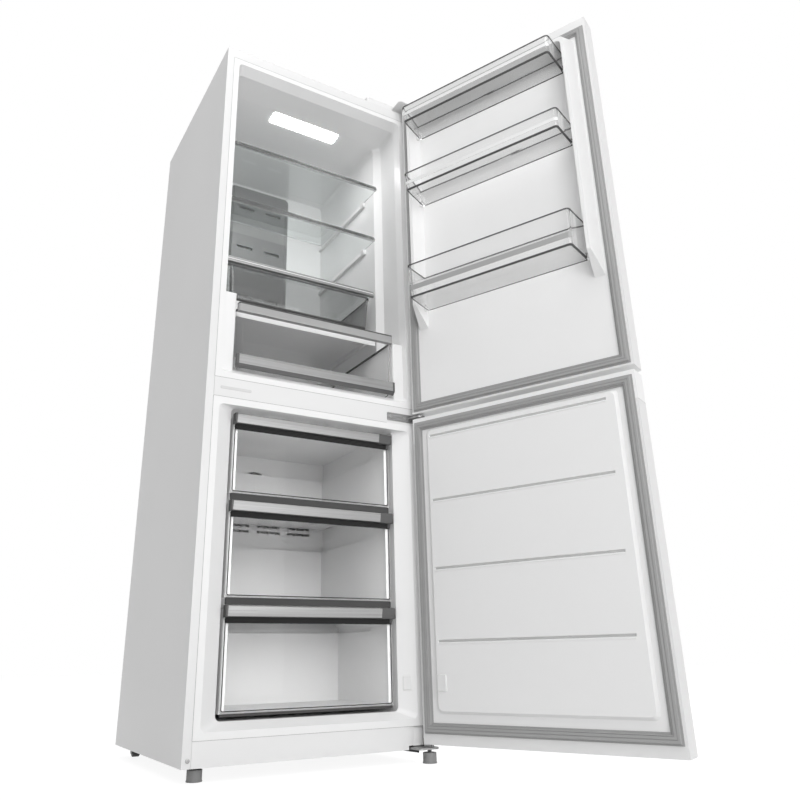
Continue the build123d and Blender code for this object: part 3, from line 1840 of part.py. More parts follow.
def pressed_panel(shift):
    """Raised panel of the lower door with its level grooves, moved towards the door's front."""
    face = door_back + panel_rise - shift
    with BuildPart() as form:
        loft(
            [
                panel(
                    hang(lower, upright(door_back - door_liner_wall - shift)),
                    -panel_base_half,
                    panel_base_half,
                    panel_low,
                    panel_high,
                    panel_corner,
                ),
                panel(
                    hang(lower, upright(face)),
                    -panel_face_half,
                    panel_face_half,
                    panel_low + panel_rise,
                    panel_high - panel_rise,
                    panel_corner,
                ),
            ],
            ruled=True,
        )
        for groove_level in panel_grooves:
            with BuildSketch(hang(lower, upright(face))):
                with Locations(((panel_face_half - panel_groove_end) / 2, groove_level)):
                    Rectangle(panel_face_half + panel_groove_end - panel_groove_inset, panel_groove_width)
            extrude(amount=panel_groove_depth, taper=30, mode=Mode.SUBTRACT)
    return form.part


with BuildPart() as lower_door_liner:
    extrude(
        panel(hang(lower, upright(door_back)), -flange_half, flange_half, lower_seal_low, lower_seal_high),
        amount=door_liner_wall,
    )
    add(pressed_panel(0))
    add(pressed_panel(door_liner_wall), mode=Mode.SUBTRACT)
save(lower_door_liner, "lower_door_liner")

# Cover of the magnet that the freezer's door sensor answers to.
with BuildPart() as sensor_magnet:
    magnet_plane = hang(lower, upright(door_back + panel_rise))
    extrude(
        panel(magnet_plane, magnet_left, panel_face_half - 1, magnet_low, magnet_high, 2),
        amount=-magnet_thickness,
        taper=15,
    )
save(sensor_magnet, "sensor_magnet")
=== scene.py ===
import math

import bmesh
import bpy
from mathutils import Matrix, Vector


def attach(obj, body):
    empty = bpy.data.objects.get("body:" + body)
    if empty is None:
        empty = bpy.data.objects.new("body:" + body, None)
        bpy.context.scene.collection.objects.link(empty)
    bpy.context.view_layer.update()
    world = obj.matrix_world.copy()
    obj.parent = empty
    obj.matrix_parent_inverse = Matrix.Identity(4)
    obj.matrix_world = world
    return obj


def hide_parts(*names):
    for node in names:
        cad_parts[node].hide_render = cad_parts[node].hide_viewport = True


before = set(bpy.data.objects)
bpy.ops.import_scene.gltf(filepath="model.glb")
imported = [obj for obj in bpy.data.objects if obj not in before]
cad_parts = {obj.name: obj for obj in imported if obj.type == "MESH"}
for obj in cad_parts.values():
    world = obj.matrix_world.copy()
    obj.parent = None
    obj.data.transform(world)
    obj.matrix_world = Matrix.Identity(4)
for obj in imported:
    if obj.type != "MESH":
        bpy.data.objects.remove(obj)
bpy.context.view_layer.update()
print("frame loaded:", len(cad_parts), "nodes")

# Both doors turn about the hinge pins' line. They are modelled shut, then swung open.
hingeLine = (0.2845, -0.025)
openAngles = {"upper_door": 113.9, "lower_door": 113.2}

# The photograph's camera, fitted to the edges of the cabinet and the doors.
cameraSetup = {
    "place": (-0.7828, -1.6011, 0.2277),
    "turnRight": 30.61,
    "lookUp": 20.01,
    "roll": -0.99,
    "sensor": 36,
    "lens": 33.36,
    "shiftX": 0.0297,
    "shiftY": -0.0147,
    "nearClip": 0.02,
}


def makeCamera():
    setup = cameraSetup
    bpy.ops.object.camera_add(location=setup["place"])
    camera = bpy.context.object
    camera.name = "photoCamera"
    turn = Matrix.Rotation(math.radians(-setup["turnRight"]), 4, "Z")
    tilt = Matrix.Rotation(math.radians(90 + setup["lookUp"]), 4, "X")
    roll = Matrix.Rotation(math.radians(setup["roll"]), 4, "Z")
    camera.matrix_world = Matrix.Translation(setup["place"]) @ turn @ tilt @ roll
    camera.data.sensor_width = setup["sensor"]
    camera.data.lens = setup["lens"]
    camera.data.shift_x = setup["shiftX"]
    camera.data.shift_y = setup["shiftY"]
    camera.data.clip_start = setup["nearClip"]
    bpy.context.scene.camera = camera


makeCamera()


def grey(value):
    return (value, value, value, 1)


# Adds a node. Its own settings and its inputs' values are given by their names.
def placeNode(tree, kind, spot, **values):
    node = tree.nodes.new(kind)
    node.location = (spot[0] * 200, spot[1] * 200)
    for name, value in values.items():
        if hasattr(node, name):
            setattr(node, name, value)
        else:
            node.inputs[name.replace("_", " ")].default_value = value
    return node


def mathNode(tree, operation, spot, first, second):
    node = placeNode(tree, "ShaderNodeMath", spot, operation=operation)
    for socket, value in zip(node.inputs, (first, second)):
        if isinstance(value, (int, float)):
            socket.default_value = value
        else:
            tree.links.new(value, socket)
    return node.outputs[0]


def mixColours(tree, spot, factor, first, second):
    node = placeNode(tree, "ShaderNodeMix", spot, data_type="RGBA")
    tree.links.new(factor, node.inputs["Factor"])
    tree.links.new(first, node.inputs[6])
    tree.links.new(second, node.inputs[7])
    return node.outputs[2]


def mixShaders(tree, factor, first, second, output):
    mix = placeNode(tree, "ShaderNodeMixShader", (3, 0))
    tree.links.new(factor, mix.inputs["Fac"])
    tree.links.new(first, mix.inputs[1])
    tree.links.new(second, mix.inputs[2])
    tree.links.new(mix.outputs["Shader"], output.inputs["Surface"])


# A group takes a place, some greys and some amounts. It gives roughness, height and, if it
# takes greys, a colour.
def newGroup(name, greys, amounts):
    group = bpy.data.node_groups.new(name, "ShaderNodeTree")

    def addSocket(label, way, kind):
        kind = "NodeSocket" + kind
        return group.interface.new_socket(name=label, in_out=way, socket_type=kind)

    addSocket("Place", "INPUT", "Vector")
    for label, value in greys.items():
        addSocket(label, "INPUT", "Color").default_value = grey(value)
    for label, value in amounts.items():
        addSocket(label, "INPUT", "Float").default_value = value
    if greys:
        addSocket("Colour", "OUTPUT", "Color")
    addSocket("Roughness", "OUTPUT", "Float")
    addSocket("Height", "OUTPUT", "Float")
    start = placeNode(group, "NodeGroupInput", (-4, 0))
    end = placeNode(group, "NodeGroupOutput", (5, 0))
    return group, start, end


def linkPlace(group, start, *textures):
    for texture in textures:
        group.links.new(start.outputs["Place"], texture.inputs["Vector"])


# Mixes the group's two greys by the texture, as far as Tint Amount lets it.
def linkTint(group, start, end, texture, first, second):
    amount = start.outputs["Tint Amount"]
    factor = mathNode(group, "MULTIPLY", (0, 2), texture.outputs["Fac"], amount)
    mixed = mixColours(group, (2, 2), factor, start.outputs[first], start.outputs[second])
    group.links.new(mixed, end.inputs["Colour"])


# Spreads a value between low and high over the roughness from Gloss Low to Gloss High.
def linkSheen(group, start, end, value, low, high):
    gloss = placeNode(group, "ShaderNodeMapRange", (1, -2), From_Min=low, From_Max=high)
    group.links.new(value, gloss.inputs["Value"])
    group.links.new(start.outputs["Gloss Low"], gloss.inputs["To Min"])
    group.links.new(start.outputs["Gloss High"], gloss.inputs["To Max"])
    group.links.new(gloss.outputs["Result"], end.inputs["Roughness"])


# Painted steel: long waves in the sheet, orange peel in the paint, and faint cleaner marks.
def makePaintGroup():
    group, start, end = newGroup(
        "sprayedPaint",
        {"Paint": 0.8, "Shadow Tint": 0.7},
        {"Tint Amount": 0.3, "Peel Size": 420, "Gloss Low": 0.25, "Gloss High": 0.4},
    )
    waves = placeNode(group, "ShaderNodeTexNoise", (-2, 2), Scale=2.2, Detail=2.0)
    peel = placeNode(group, "ShaderNodeTexNoise", (-2, 0), Detail=1.5)
    marks = placeNode(group, "ShaderNodeTexNoise", (-2, -2), Scale=3.0, Detail=1.0)
    linkPlace(group, start, waves, peel, marks)
    group.links.new(start.outputs["Peel Size"], peel.inputs["Scale"])
    linkTint(group, start, end, waves, "Paint", "Shadow Tint")
    linkSheen(group, start, end, marks.outputs["Fac"], 0.35, 0.7)
    waveShare = 3.0
    slow = mathNode(group, "MULTIPLY", (0, 0), waves.outputs["Fac"], waveShare)
    height = mathNode(group, "ADD", (2, 0), slow, peel.outputs["Fac"])
    group.links.new(height, end.inputs["Height"])
    return group


# Moulded plastic: fine grain, slow flow patches, and a slightly uneven sheen.
def makePlasticGroup():
    group, start, end = newGroup(
        "mouldedPlastic",
        {"Plastic": 0.8, "Flow Tint": 0.7},
        {"Tint Amount": 0.3, "Grain Size": 900, "Gloss Low": 0.3, "Gloss High": 0.45},
    )
    flow = placeNode(
        group, "ShaderNodeTexNoise", (-2, 2), Scale=4.5, Detail=3.0, Distortion=0.6
    )
    grain = placeNode(group, "ShaderNodeTexVoronoi", (-2, 0), feature="SMOOTH_F1")
    patches = placeNode(group, "ShaderNodeTexNoise", (-2, -2), Scale=12.0, Detail=1.5)
    linkPlace(group, start, flow, grain, patches)
    group.links.new(start.outputs["Grain Size"], grain.inputs["Scale"])
    linkTint(group, start, end, flow, "Plastic", "Flow Tint")
    linkSheen(group, start, end, patches.outputs["Fac"], 0.3, 0.7)
    group.links.new(grain.outputs["Distance"], end.inputs["Height"])
    return group


# Brushed metal and silver film: streaks along the direction that the material stretches.
def makeBrushGroup():
    group, start, end = newGroup(
        "brushedLines",
        {"Dark": 0.4, "Bright": 0.7},
        {"Gloss Low": 0.2, "Gloss High": 0.4},
    )
    streaks = placeNode(
        group, "ShaderNodeTexNoise", (-2, 1), Scale=1.0, Detail=5.0, Roughness=0.7
    )
    linkPlace(group, start, streaks)
    clear = placeNode(group, "ShaderNodeMapRange", (0, 1), From_Min=0.3, From_Max=0.7)
    group.links.new(streaks.outputs["Fac"], clear.inputs["Value"])
    streak = clear.outputs["Result"]
    mixed = mixColours(group, (2, 2), streak, start.outputs["Dark"], start.outputs["Bright"])
    group.links.new(mixed, end.inputs["Colour"])
    linkSheen(group, start, end, streak, 0.0, 1.0)
    group.links.new(streak, end.inputs["Height"])
    return group


# Clear pieces: wiping haze in the sheen, and a slow ripple in the surface.
def makeHazeGroup():
    group, start, end = newGroup("wipedHaze", {}, {"Gloss Low": 0.02, "Gloss High": 0.1})
    haze = placeNode(
        group, "ShaderNodeTexNoise", (-2, 1), Scale=9.0, Detail=6.0, Distortion=1.5
    )
    ripple = placeNode(group, "ShaderNodeTexNoise", (-2, -1), Scale=26.0, Detail=1.0)
    linkPlace(group, start, haze, ripple)
    linkSheen(group, start, end, haze.outputs["Fac"], 0.4, 0.75)
    group.links.new(ripple.outputs["Fac"], end.inputs["Height"])
    return group


paintGroup = makePaintGroup()
plasticGroup = makePlasticGroup()
brushGroup = makeBrushGroup()
hazeGroup = makeHazeGroup()

finishes = {}


# One finish on one of the groups. The group's values are given by its sockets' names, and
# relief is the bump's strength and distance.
def surfaceMaterial(name, group, gloss, values, relief, stretch=(1, 1, 1), **shaderValues):
    material = bpy.data.materials.new(name)
    material.use_nodes = True
    tree = material.node_tree
    shader = tree.nodes["Principled BSDF"]
    place = placeNode(tree, "ShaderNodeTexCoord", (-6, 0))
    mapping = placeNode(tree, "ShaderNodeMapping", (-5, 0), Scale=stretch)
    effect = placeNode(tree, "ShaderNodeGroup", (-3, 0), node_tree=group)
    tree.links.new(place.outputs["Object"], mapping.inputs["Vector"])
    tree.links.new(mapping.outputs["Vector"], effect.inputs["Place"])
    for label, value in values.items():
        effect.inputs[label].default_value = value
    effect.inputs["Gloss Low"].default_value, effect.inputs["Gloss High"].default_value = gloss
    if "Colour" in effect.outputs:
        tree.links.new(effect.outputs["Colour"], shader.inputs["Base Color"])
    tree.links.new(effect.outputs["Roughness"], shader.inputs["Roughness"])
    strength, distance = relief
    bump = placeNode(tree, "ShaderNodeBump", (-1, -2), Strength=strength, Distance=distance)
    tree.links.new(effect.outputs["Height"], bump.inputs["Height"])
    tree.links.new(bump.outputs["Normal"], shader.inputs["Normal"])
    for label, value in shaderValues.items():
        shader.inputs[label.replace("_", " ")].default_value = value
    finishes[name] = material
    return material


def paintMaterial(name, paint, shadow, gloss, peel=420, relief=(0.25, 0.0004), **shaderValues):
    values = {
        "Paint": grey(paint),
        "Shadow Tint": grey(shadow),
        "Tint Amount": 0.35,
        "Peel Size": peel,
    }
    surfaceMaterial(name, paintGroup, gloss, values, relief, **shaderValues)


def plasticMaterial(name, plastic, flow, gloss, grain=900, relief=(0.2, 0.0002), **shaderValues):
    values = {
        "Plastic": grey(plastic),
        "Flow Tint": grey(flow),
        "Tint Amount": 0.35,
        "Grain Size": grain,
    }
    surfaceMaterial(name, plasticGroup, gloss, values, relief, **shaderValues)


def brushedMaterial(name, dark, bright, gloss, stretch, **shaderValues):
    values = {"Dark": grey(dark), "Bright": grey(bright)}
    relief = (0.15, 0.0002)
    surfaceMaterial(name, brushGroup, gloss, values, relief, stretch, **shaderValues)


# Clear plastic and glass. Lamps shine through it, so that what stands inside is lit.
def clearMaterial(name, tint, gloss, ior, shadowTint):
    relief = (0.06, 0.0006)
    material = surfaceMaterial(
        name, hazeGroup, gloss, {}, relief, Base_Color=tint, Transmission_Weight=1.0, IOR=ior
    )
    tree = material.node_tree
    path = placeNode(tree, "ShaderNodeLightPath", (1, 4))
    film = placeNode(tree, "ShaderNodeBsdfTransparent", (1, -3), Color=grey(shadowTint))
    mixShaders(
        tree,
        path.outputs["Is Shadow Ray"],
        tree.nodes["Principled BSDF"].outputs["BSDF"],
        film.outputs["BSDF"],
        tree.nodes["Material Output"],
    )


# White parts have an almost smooth skin. Silver film is drawn out along the bars.
smoothSkin = {"grain": 500, "relief": (0.01, 0.00003)}
alongBar = (3, 500, 500)

paintMaterial(
    "whiteEnamel", 0.80, 0.77, (0.34, 0.38), peel=900, relief=(0.03, 0.0001), Coat_Weight=0.12
)
paintMaterial("rearSteel", 0.42, 0.36, (0.38, 0.55), Metallic=0.4)
paintMaterial("darkPaint", 0.035, 0.06, (0.3, 0.5), peel=260)
paintMaterial("baseGrey", 0.30, 0.24, (0.4, 0.55))

plasticMaterial("linerPlastic", 0.87, 0.84, (0.28, 0.34), **smoothSkin)
plasticMaterial("capPlastic", 0.82, 0.79, (0.32, 0.38), **smoothSkin)
# Whiter than the caps: painted light on caps seen from below and on the groove lips.
plasticMaterial("capPaintedLight", 0.90, 0.87, (0.3, 0.36), **smoothSkin)
# Grey as painted shade: the white plug's shadow lines, spread over the whole plug.
plasticMaterial("plugPaintedShade", 0.68, 0.64, (0.3, 0.4), **smoothSkin)
plasticMaterial("sealRubber", 0.37, 0.33, (0.45, 0.6), relief=(0.1, 0.0002))
plasticMaterial("blackRubber", 0.02, 0.035, (0.6, 0.8), relief=(0.4, 0.0004))
plasticMaterial(
    "lampLens", 0.9, 0.85, (0.2, 0.3), Emission_Color=grey(1.0), Emission_Strength=17.0
)

# Plainer plastics: the plastic's and the flow's grey, the gloss range, and the specular level.
plainPlastics = {
    "grooveShade": (0.55, 0.50, 0.5, 0.6, 0.5),
    "greyCapPlastic": (0.50, 0.44, 0.35, 0.5, 0.5),
    # Darker rubber: painted shade on the seal grooves' floors.
    "sealGroovePaintedShade": (0.29, 0.25, 0.5, 0.65, 0.5),
    "seamBead": (0.40, 0.34, 0.5, 0.65, 0.5),
    "footPlastic": (0.27, 0.23, 0.4, 0.55, 0.3),
    "blackPlastic": (0.03, 0.05, 0.4, 0.6, 0.5),
    "ductPlastic": (0.26, 0.21, 0.3, 0.45, 0.5),
    "trimPlastic": (0.30, 0.24, 0.15, 0.25, 0.5),
    "lipPlastic": (0.40, 0.33, 0.12, 0.22, 0.5),
    # The bins' bands: painted reflections of the bins' thick floors.
    "palePaintedReflection": (0.86, 0.82, 0.3, 0.45, 0.5),
    "greyPaintedReflection": (0.40, 0.34, 0.3, 0.45, 0.5),
    # Dark as painted shade along the edges of clear bins and crispers.
    "edgePaintedShade": (0.10, 0.07, 0.3, 0.45, 0.25),
    "edgeLine": (0.07, 0.05, 0.3, 0.45, 0.25),
    # Near black as painted shade in the drawers' finger channels.
    "channelPaintedShade": (0.03, 0.02, 0.5, 0.65, 0.1),
    # Near black as painted shade under the drawer fronts.
    "skirtPaintedShade": (0.08, 0.05, 0.4, 0.55, 0.2),
    "barCap": (0.12, 0.09, 0.25, 0.4, 0.3),
}
for name, (plastic, flow, glossLow, glossHigh, specular) in plainPlastics.items():
    gloss = (glossLow, glossHigh)
    plasticMaterial(name, plastic, flow, gloss, Specular_IOR_Level=specular)

brushedMaterial("silverFilm", 0.30, 0.42, (0.26, 0.38), alongBar, Metallic=0.6)
# Darker silver: painted shade for the bars' undersides.
brushedMaterial("silverPaintedShade", 0.10, 0.18, (0.3, 0.45), alongBar, Metallic=0.6)
# Pale silver: a painted highlight line on the cover trim.
brushedMaterial("coverTrimPale", 0.75, 0.85, (0.2, 0.3), alongBar)
brushedMaterial("hingeSteel", 0.22, 0.42, (0.3, 0.45), (20, 300, 300), Metallic=0.9)
brushedMaterial("finMetal", 0.5, 0.7, (0.3, 0.45), (60, 60, 600), Metallic=1.0)
brushedMaterial("screwSteel", 0.3, 0.5, (0.25, 0.4), (200, 200, 200), Metallic=0.9)

clearMaterial("clearPlastic", grey(0.94), (0.02, 0.07), 1.45, 0.93)
clearMaterial("smokedFloor", grey(0.70), (0.04, 0.1), 1.45, 0.88)
clearMaterial("clearBox", grey(0.98), (0.02, 0.06), 1.2, 0.96)
clearMaterial("tintedPlastic", grey(0.56), (0.03, 0.1), 1.45, 0.72)
clearMaterial("shelfGlass", (0.94, 0.965, 0.96, 1), (0.01, 0.05), 1.5, 0.95)
clearMaterial("shelfEdge", grey(0.70), (0.02, 0.08), 1.5, 0.8)
print("materials made:", len(finishes))

cadFinishes = {
    "whiteEnamel": "cabinet_shell mullion_cover upper_door_skin lower_door_skin top_hinge",
    "rearSteel": "back_panel compressor_cover",
    "darkPaint": "compressor",
    "baseGrey": "base_frame",
    "linerPlastic": "fridge_liner freezer_liner upper_door_liner lower_door_liner",
    "capPlastic": (
        "kick_plate top_hinge_cover crisper_divider upper_door_top_cap lower_door_bottom_cap "
        "freezer_air_panel door_sensor sensor_magnet drawer_1_box drawer_2_box drawer_3_box "
        "ceiling_light"
    ),
    # The plug is greyed as painted shade.
    "plugPaintedShade": "mullion_plug",
    # Caps seen from below, lightened as painted light.
    "capPaintedLight": "upper_door_bottom_cap lower_door_top_cap",
    "greyCapPlastic": "drip_tray fan_motor",
    "sealRubber": "upper_door_gasket lower_door_gasket",
    "footPlastic": "foot_left foot_right",
    "blackPlastic": "roller_left roller_right fan_impeller",
    "blackRubber": "compressor_mounts",
    "ductPlastic": "fridge_air_duct",
    "trimPlastic": "shelf_trims",
    "silverFilm": "crisper_cover_trim lower_crisper_trim drawer_1_bar drawer_2_bar drawer_3_bar",
    "hingeSteel": "middle_hinge bottom_hinge hinge_screws",
    "finMetal": "evaporator",
    "clearPlastic": (
        "top_bin middle_bin bottom_bin lower_crisper drawer_1_window drawer_2_window "
        "drawer_3_window"
    ),
    "tintedPlastic": "upper_crisper",
    "shelfGlass": "top_shelf_glass middle_shelf_glass crisper_cover_glass",
}
for finish, names in cadFinishes.items():
    for name in names.split():
        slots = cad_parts[name].data.materials
        slots.clear()
        slots.append(finishes[finish])
print("CAD nodes dressed")

# Limits for choosing faces and edges: how far they point along an axis, and how near they lie.
flat = 0.98
straight = 0.9
halfway = 0.5
leaning = 0.3
across = 0.1
near = 0.001
hair = 0.0001
# How far a cutting box reaches past the piece.
past = 0.01


def clearSelection():
    if bpy.context.mode != "OBJECT":
        bpy.ops.object.mode_set(mode="OBJECT")
    bpy.ops.object.select_all(action="DESELECT")


def selectPieces(pieces):
    clearSelection()
    for each in pieces:
        each.select_set(True)
    bpy.context.view_layer.objects.active = pieces[0]


# Gives a piece its materials in order, so that faces can be painted with them.
def giveFinishes(piece, *names):
    for name in names:
        piece.data.materials.append(finishes[name])


def startBox(name, low, high, *names):
    clearSelection()
    middle = [(a + b) / 2 for a, b in zip(low, high)]
    bpy.ops.mesh.primitive_cube_add(size=1, location=middle)
    piece = bpy.context.object
    piece.name = name
    piece.scale = [b - a for a, b in zip(low, high)]
    bpy.ops.object.transform_apply(location=True, rotation=True, scale=True)
    giveFinishes(piece, *names)
    return piece


# A box on one side of the middle plane, between two distances from it.
def sideBox(name, side, distances, depths, levels, *names):
    left, right = sorted(side * distance for distance in distances)
    return startBox(name, (left, depths[0], levels[0]), (right, depths[1], levels[1]), *names)


def startRod(name, place, radius, depth, sides, *names):
    clearSelection()
    bpy.ops.mesh.primitive_cylinder_add(
        vertices=sides, radius=radius, depth=depth, location=place
    )
    piece = bpy.context.object
    piece.name = name
    bpy.ops.object.transform_apply(location=True, rotation=True, scale=True)
    giveFinishes(piece, *names)
    return piece


def startEditing(piece, kind):
    if piece.mode != "EDIT":
        selectPieces([piece])
        bpy.ops.object.mode_set(mode="EDIT")
    bpy.ops.mesh.select_mode(type=kind)
    bpy.ops.mesh.select_all(action="DESELECT")
    return bmesh.from_edit_mesh(piece.data)


# Selects the faces whose middle and direction pass the test.
def pickFaces(piece, test):
    mesh = startEditing(piece, "FACE")
    for face in mesh.faces:
        if test(face.calc_center_median(), face.normal):
            face.select_set(True)
    bmesh.update_edit_mesh(piece.data)


# Selects the faces that look one way, such as "+y" or "-z".
def pickSide(piece, way):
    axis, sign = "xyz".index(way[1]), 1 if way[0] == "+" else -1
    pickFaces(piece, lambda middle, normal: sign * normal[axis] > straight)


# Selects the edges whose middle and run pass the test.
def pickEdges(piece, test=lambda middle, run: True):
    mesh = startEditing(piece, "EDGE")
    for edge in mesh.edges:
        start, end = (corner.co for corner in edge.verts)
        if test((start + end) / 2, (end - start).normalized()):
            edge.select_set(True)
    bmesh.update_edit_mesh(piece.data)


# Selects the edges along one axis whose middle passes the test.
def pickRuns(piece, axis, test=lambda middle: True):
    number = "xyz".index(axis)
    pickEdges(piece, lambda middle, run: abs(run[number]) > straight and test(middle))


def bevel(width, segments):
    bpy.ops.mesh.bevel(offset=width, segments=segments, affect="EDGES", clamp_overlap=True)


def inset(thickness, depth=0.0):
    bpy.ops.mesh.inset(thickness=thickness, depth=depth, use_even_offset=True)


def extrude(height):
    bpy.ops.mesh.extrude_region_move(TRANSFORM_OT_translate={"value": (0, 0, height)})


def swell(width):
    bpy.ops.mesh.extrude_region_shrink_fatten(TRANSFORM_OT_shrink_fatten={"value": width})


def move(shift):
    bpy.ops.transform.translate(value=shift)


def resize(scale, about):
    bpy.ops.transform.resize(value=scale, center_override=about)


def cutAcross(piece, axis, place):
    startEditing(piece, "FACE")
    bpy.ops.mesh.select_all(action="SELECT")
    direction = [float(axis == each) for each in "xyz"]
    bpy.ops.mesh.bisect(plane_co=[place * each for each in direction], plane_no=direction)


def paintFaces(piece, index, test=lambda middle, normal: True):
    pickFaces(piece, test)
    piece.active_material_index = index
    bpy.ops.object.material_slot_assign()


def cutAway(piece, other):
    selectPieces([piece])
    modifier = piece.modifiers.new("cutAway", "BOOLEAN")
    modifier.operation = "DIFFERENCE"
    modifier.object = other
    bpy.ops.object.modifier_apply(modifier=modifier.name)
    bpy.data.objects.remove(other)


# Joins the pieces into the first one, which keeps its name.
def joinPieces(pieces):
    selectPieces(pieces)
    bpy.ops.object.join()
    return pieces[0]


# Swings a door's piece open, smooths it, puts it in its body, and hides the nodes it replaces.
def settle(piece, body, replaced=(), smoothAngle=32):
    selectPieces([piece])
    if body in openAngles:
        pivot = Matrix.Translation((*hingeLine, 0))
        swing = Matrix.Rotation(math.radians(openAngles[body]), 4, "Z")
        piece.matrix_world = pivot @ swing @ pivot.inverted()
        bpy.ops.object.transform_apply(location=True, rotation=True, scale=True)
    bpy.ops.object.shade_smooth_by_angle(angle=math.radians(smoothAngle))
    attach(piece, body)
    if replaced:
        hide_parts(*replaced)


# Finishes a flat strip: the chosen edges are rounded, and its front gets a set-in panel.
def finishStrip(strip, edges, rounding, segments, panel):
    pickEdges(strip, edges)
    bevel(rounding, segments)
    pickSide(strip, "-y")
    inset(*panel)
    return strip


# Adds a rim to a tray. Where it isn't all round, the side towards the door stays flat.
def raiseRim(tray, rimLow, shape, finishNumber, allRound):
    pickFaces(tray, lambda middle, normal: normal.z > straight and middle.z > rimLow - near)
    extrude(shape["rimHeight"])
    pickFaces(
        tray,
        lambda middle, normal: abs(normal.z) < halfway
        and middle.z > rimLow + near / 2
        and (allRound or normal.y > -halfway),
    )
    swell(shape["rim"])
    # The rim gets the given finish, which is painted shade along the edge.
    paintFaces(tray, finishNumber, lambda middle, normal: middle.z > rimLow + hair)


# Door bins: tapered clear trays with a rim, a notch at each lower rear corner, and a raised band.
# The rim and a line round the floor have painted shade, and the band a painted reflection.
binShape = {
    "back": 0.002,
    "front": 0.102,
    "backHalf": 0.233,
    "frontHalf": 0.228,
    "wall": 0.0025,
    "draft": 0.003,
    "corner": 0.009,
    "underRound": 0.004,
    "rim": 0.0012,
    "rimHeight": 0.0035,
    "lineHeight": 0.0035,
    "notchInner": 0.2265,
    "notchDepth": 0.010,
    "notchHeight": 0.012,
    "bandRise": 0.0005,
    "bandBack": 0.08,
}


def binBlank(name, low, high, shrink):
    shape = binShape
    back, front = shape["back"] + shrink, shape["front"] - shrink
    half = shape["backHalf"] - shrink
    blank = startBox(name, (-half, back, low + shrink), (half, front, high))
    pickSide(blank, "+y")
    resize(((shape["frontHalf"] - shrink) / half, 1, 1), (0, front, 0))
    pickSide(blank, "-z")
    draft = shape["draft"]
    resize((1 - draft / half, 1 - draft / (front - back), 1), (0, back, low))
    pickRuns(blank, "z", lambda middle: middle.y > (back + front) / 2)
    bevel(shape["corner"] - shrink, 6)
    pickEdges(
        blank,
        lambda middle, run: middle.z < low + shrink + near / 2 and middle.y > back + near,
    )
    bevel(shape["underRound"] - shrink / 2, 3)
    for side in (-1, 1):
        notch = sideBox(
            "notch",
            side,
            (shape["notchInner"] - shrink, shape["backHalf"] + past),
            (back - shrink - past, shape["back"] + shape["notchDepth"] + shrink),
            (low - past, low + shape["notchHeight"] + shrink),
        )
        cutAway(blank, notch)
    return blank


def makeBin(name, low, high, bandLow, bandHigh, bandFinish):
    shape = binShape

    def inBand(middle, normal):
        inLevels = bandLow < middle.z < bandHigh
        return inLevels and normal.y > leaning and middle.y > shape["bandBack"]

    rimLow = high - shape["rimHeight"]
    tray = binBlank(name + "_tray", low, rimLow, 0)
    giveFinishes(tray, "clearPlastic", bandFinish, "edgePaintedShade", "smokedFloor")
    raiseRim(tray, rimLow, shape, 2, False)
    lineHigh = low + shape["lineHeight"]
    # Painted shade in a line round the foot of the walls.
    paintFaces(tray, 2, lambda middle, normal: middle.z < lineHigh and abs(normal.z) < flat)
    paintFaces(tray, 3, lambda middle, normal: middle.z < low + near and normal.z < -flat)
    for height in (bandLow, bandHigh):
        cutAcross(tray, "z", height)
    pickFaces(tray, inBand)
    swell(shape["bandRise"])
    # The band is painted as a painted reflection.
    paintFaces(tray, 1, inBand)
    cutAway(tray, binBlank("inside", low, high + past, shape["wall"]))
    settle(tray, "upper_door", [name])


for name, low, high, bandLow, bandHigh, bandFinish in (
    ("top_bin", 1.693, 1.745, 1.713, 1.721, "palePaintedReflection"),
    ("middle_bin", 1.4583, 1.5133, 1.476, 1.4855, "palePaintedReflection"),
    ("bottom_bin", 1.123, 1.220, 1.143, 1.157, "greyPaintedReflection"),
):
    makeBin(name, low, high, bandLow, bandHigh, bandFinish)
print("door bins modelled")

# Crispers: tapered clear boxes with a rim. The rim and, on the upper one, a line round its floor
# have painted shade.
crisperShape = {
    "wall": 0.0025,
    "draft": 0.008,
    "corner": 0.016,
    "floorRound": 0.005,
    "rim": 0.0018,
    "rimHeight": 0.005,
    "lineHeight": 0.0045,
}
crisperSizes = {
    "upper_crisper": {"half": 0.222, "front": 0.125, "back": 0.470, "low": 1.141, "high": 1.243},
    "lower_crisper": {"half": 0.226, "front": 0.010, "back": 0.465, "low": 0.898, "high": 1.057},
}


def crisperBlank(name, half, front, back, low, high, shrink):
    shape = crisperShape
    blank = startBox(
        name, (shrink - half, front + shrink, low + shrink), (half - shrink, back - shrink, high)
    )
    pickSide(blank, "-z")
    draft = shape["draft"]
    resize((1 - draft / half, 1 - draft / (back - front), 1), (0, (front + back) / 2, low))
    pickRuns(blank, "z")
    bevel(shape["corner"] - shrink, 6)
    pickEdges(blank, lambda middle, run: middle.z < low + shrink + near / 2)
    bevel(shape["floorRound"] - shrink / 2, 3)
    return blank


def makeCrisper(body, finish, slot, floorFinish, half, front, back, low, high):
    shape = crisperShape
    rimLow = high - shape["rimHeight"]
    crisper = crisperBlank(body + "_box", half, front, back, low, rimLow, 0)
    giveFinishes(crisper, finish, "edgePaintedShade")
    raiseRim(crisper, rimLow, shape, 1, True)
    lineHigh = low + shape["lineHeight"]
    # On the upper crisper, painted shade in a line round the floor.
    paintFaces(
        crisper,
        floorFinish,
        lambda middle, normal: middle.z < lineHigh and abs(normal.z) < flat,
    )
    inside = crisperBlank("inside", half, front, back, low, high + past, shape["wall"])
    cutAway(crisper, inside)
    settle(crisper, body, [body])


for body, finish, slot, floorFinish in (
    ("upper_crisper", "tintedPlastic", "tinted_plastic", 1),
    ("lower_crisper", "clearBox", "clear_plastic", 0),
):
    makeCrisper(body, finish, slot, floorFinish, **crisperSizes[body])

barShape = {"topRound": 0.0025, "capRise": 0.0008}
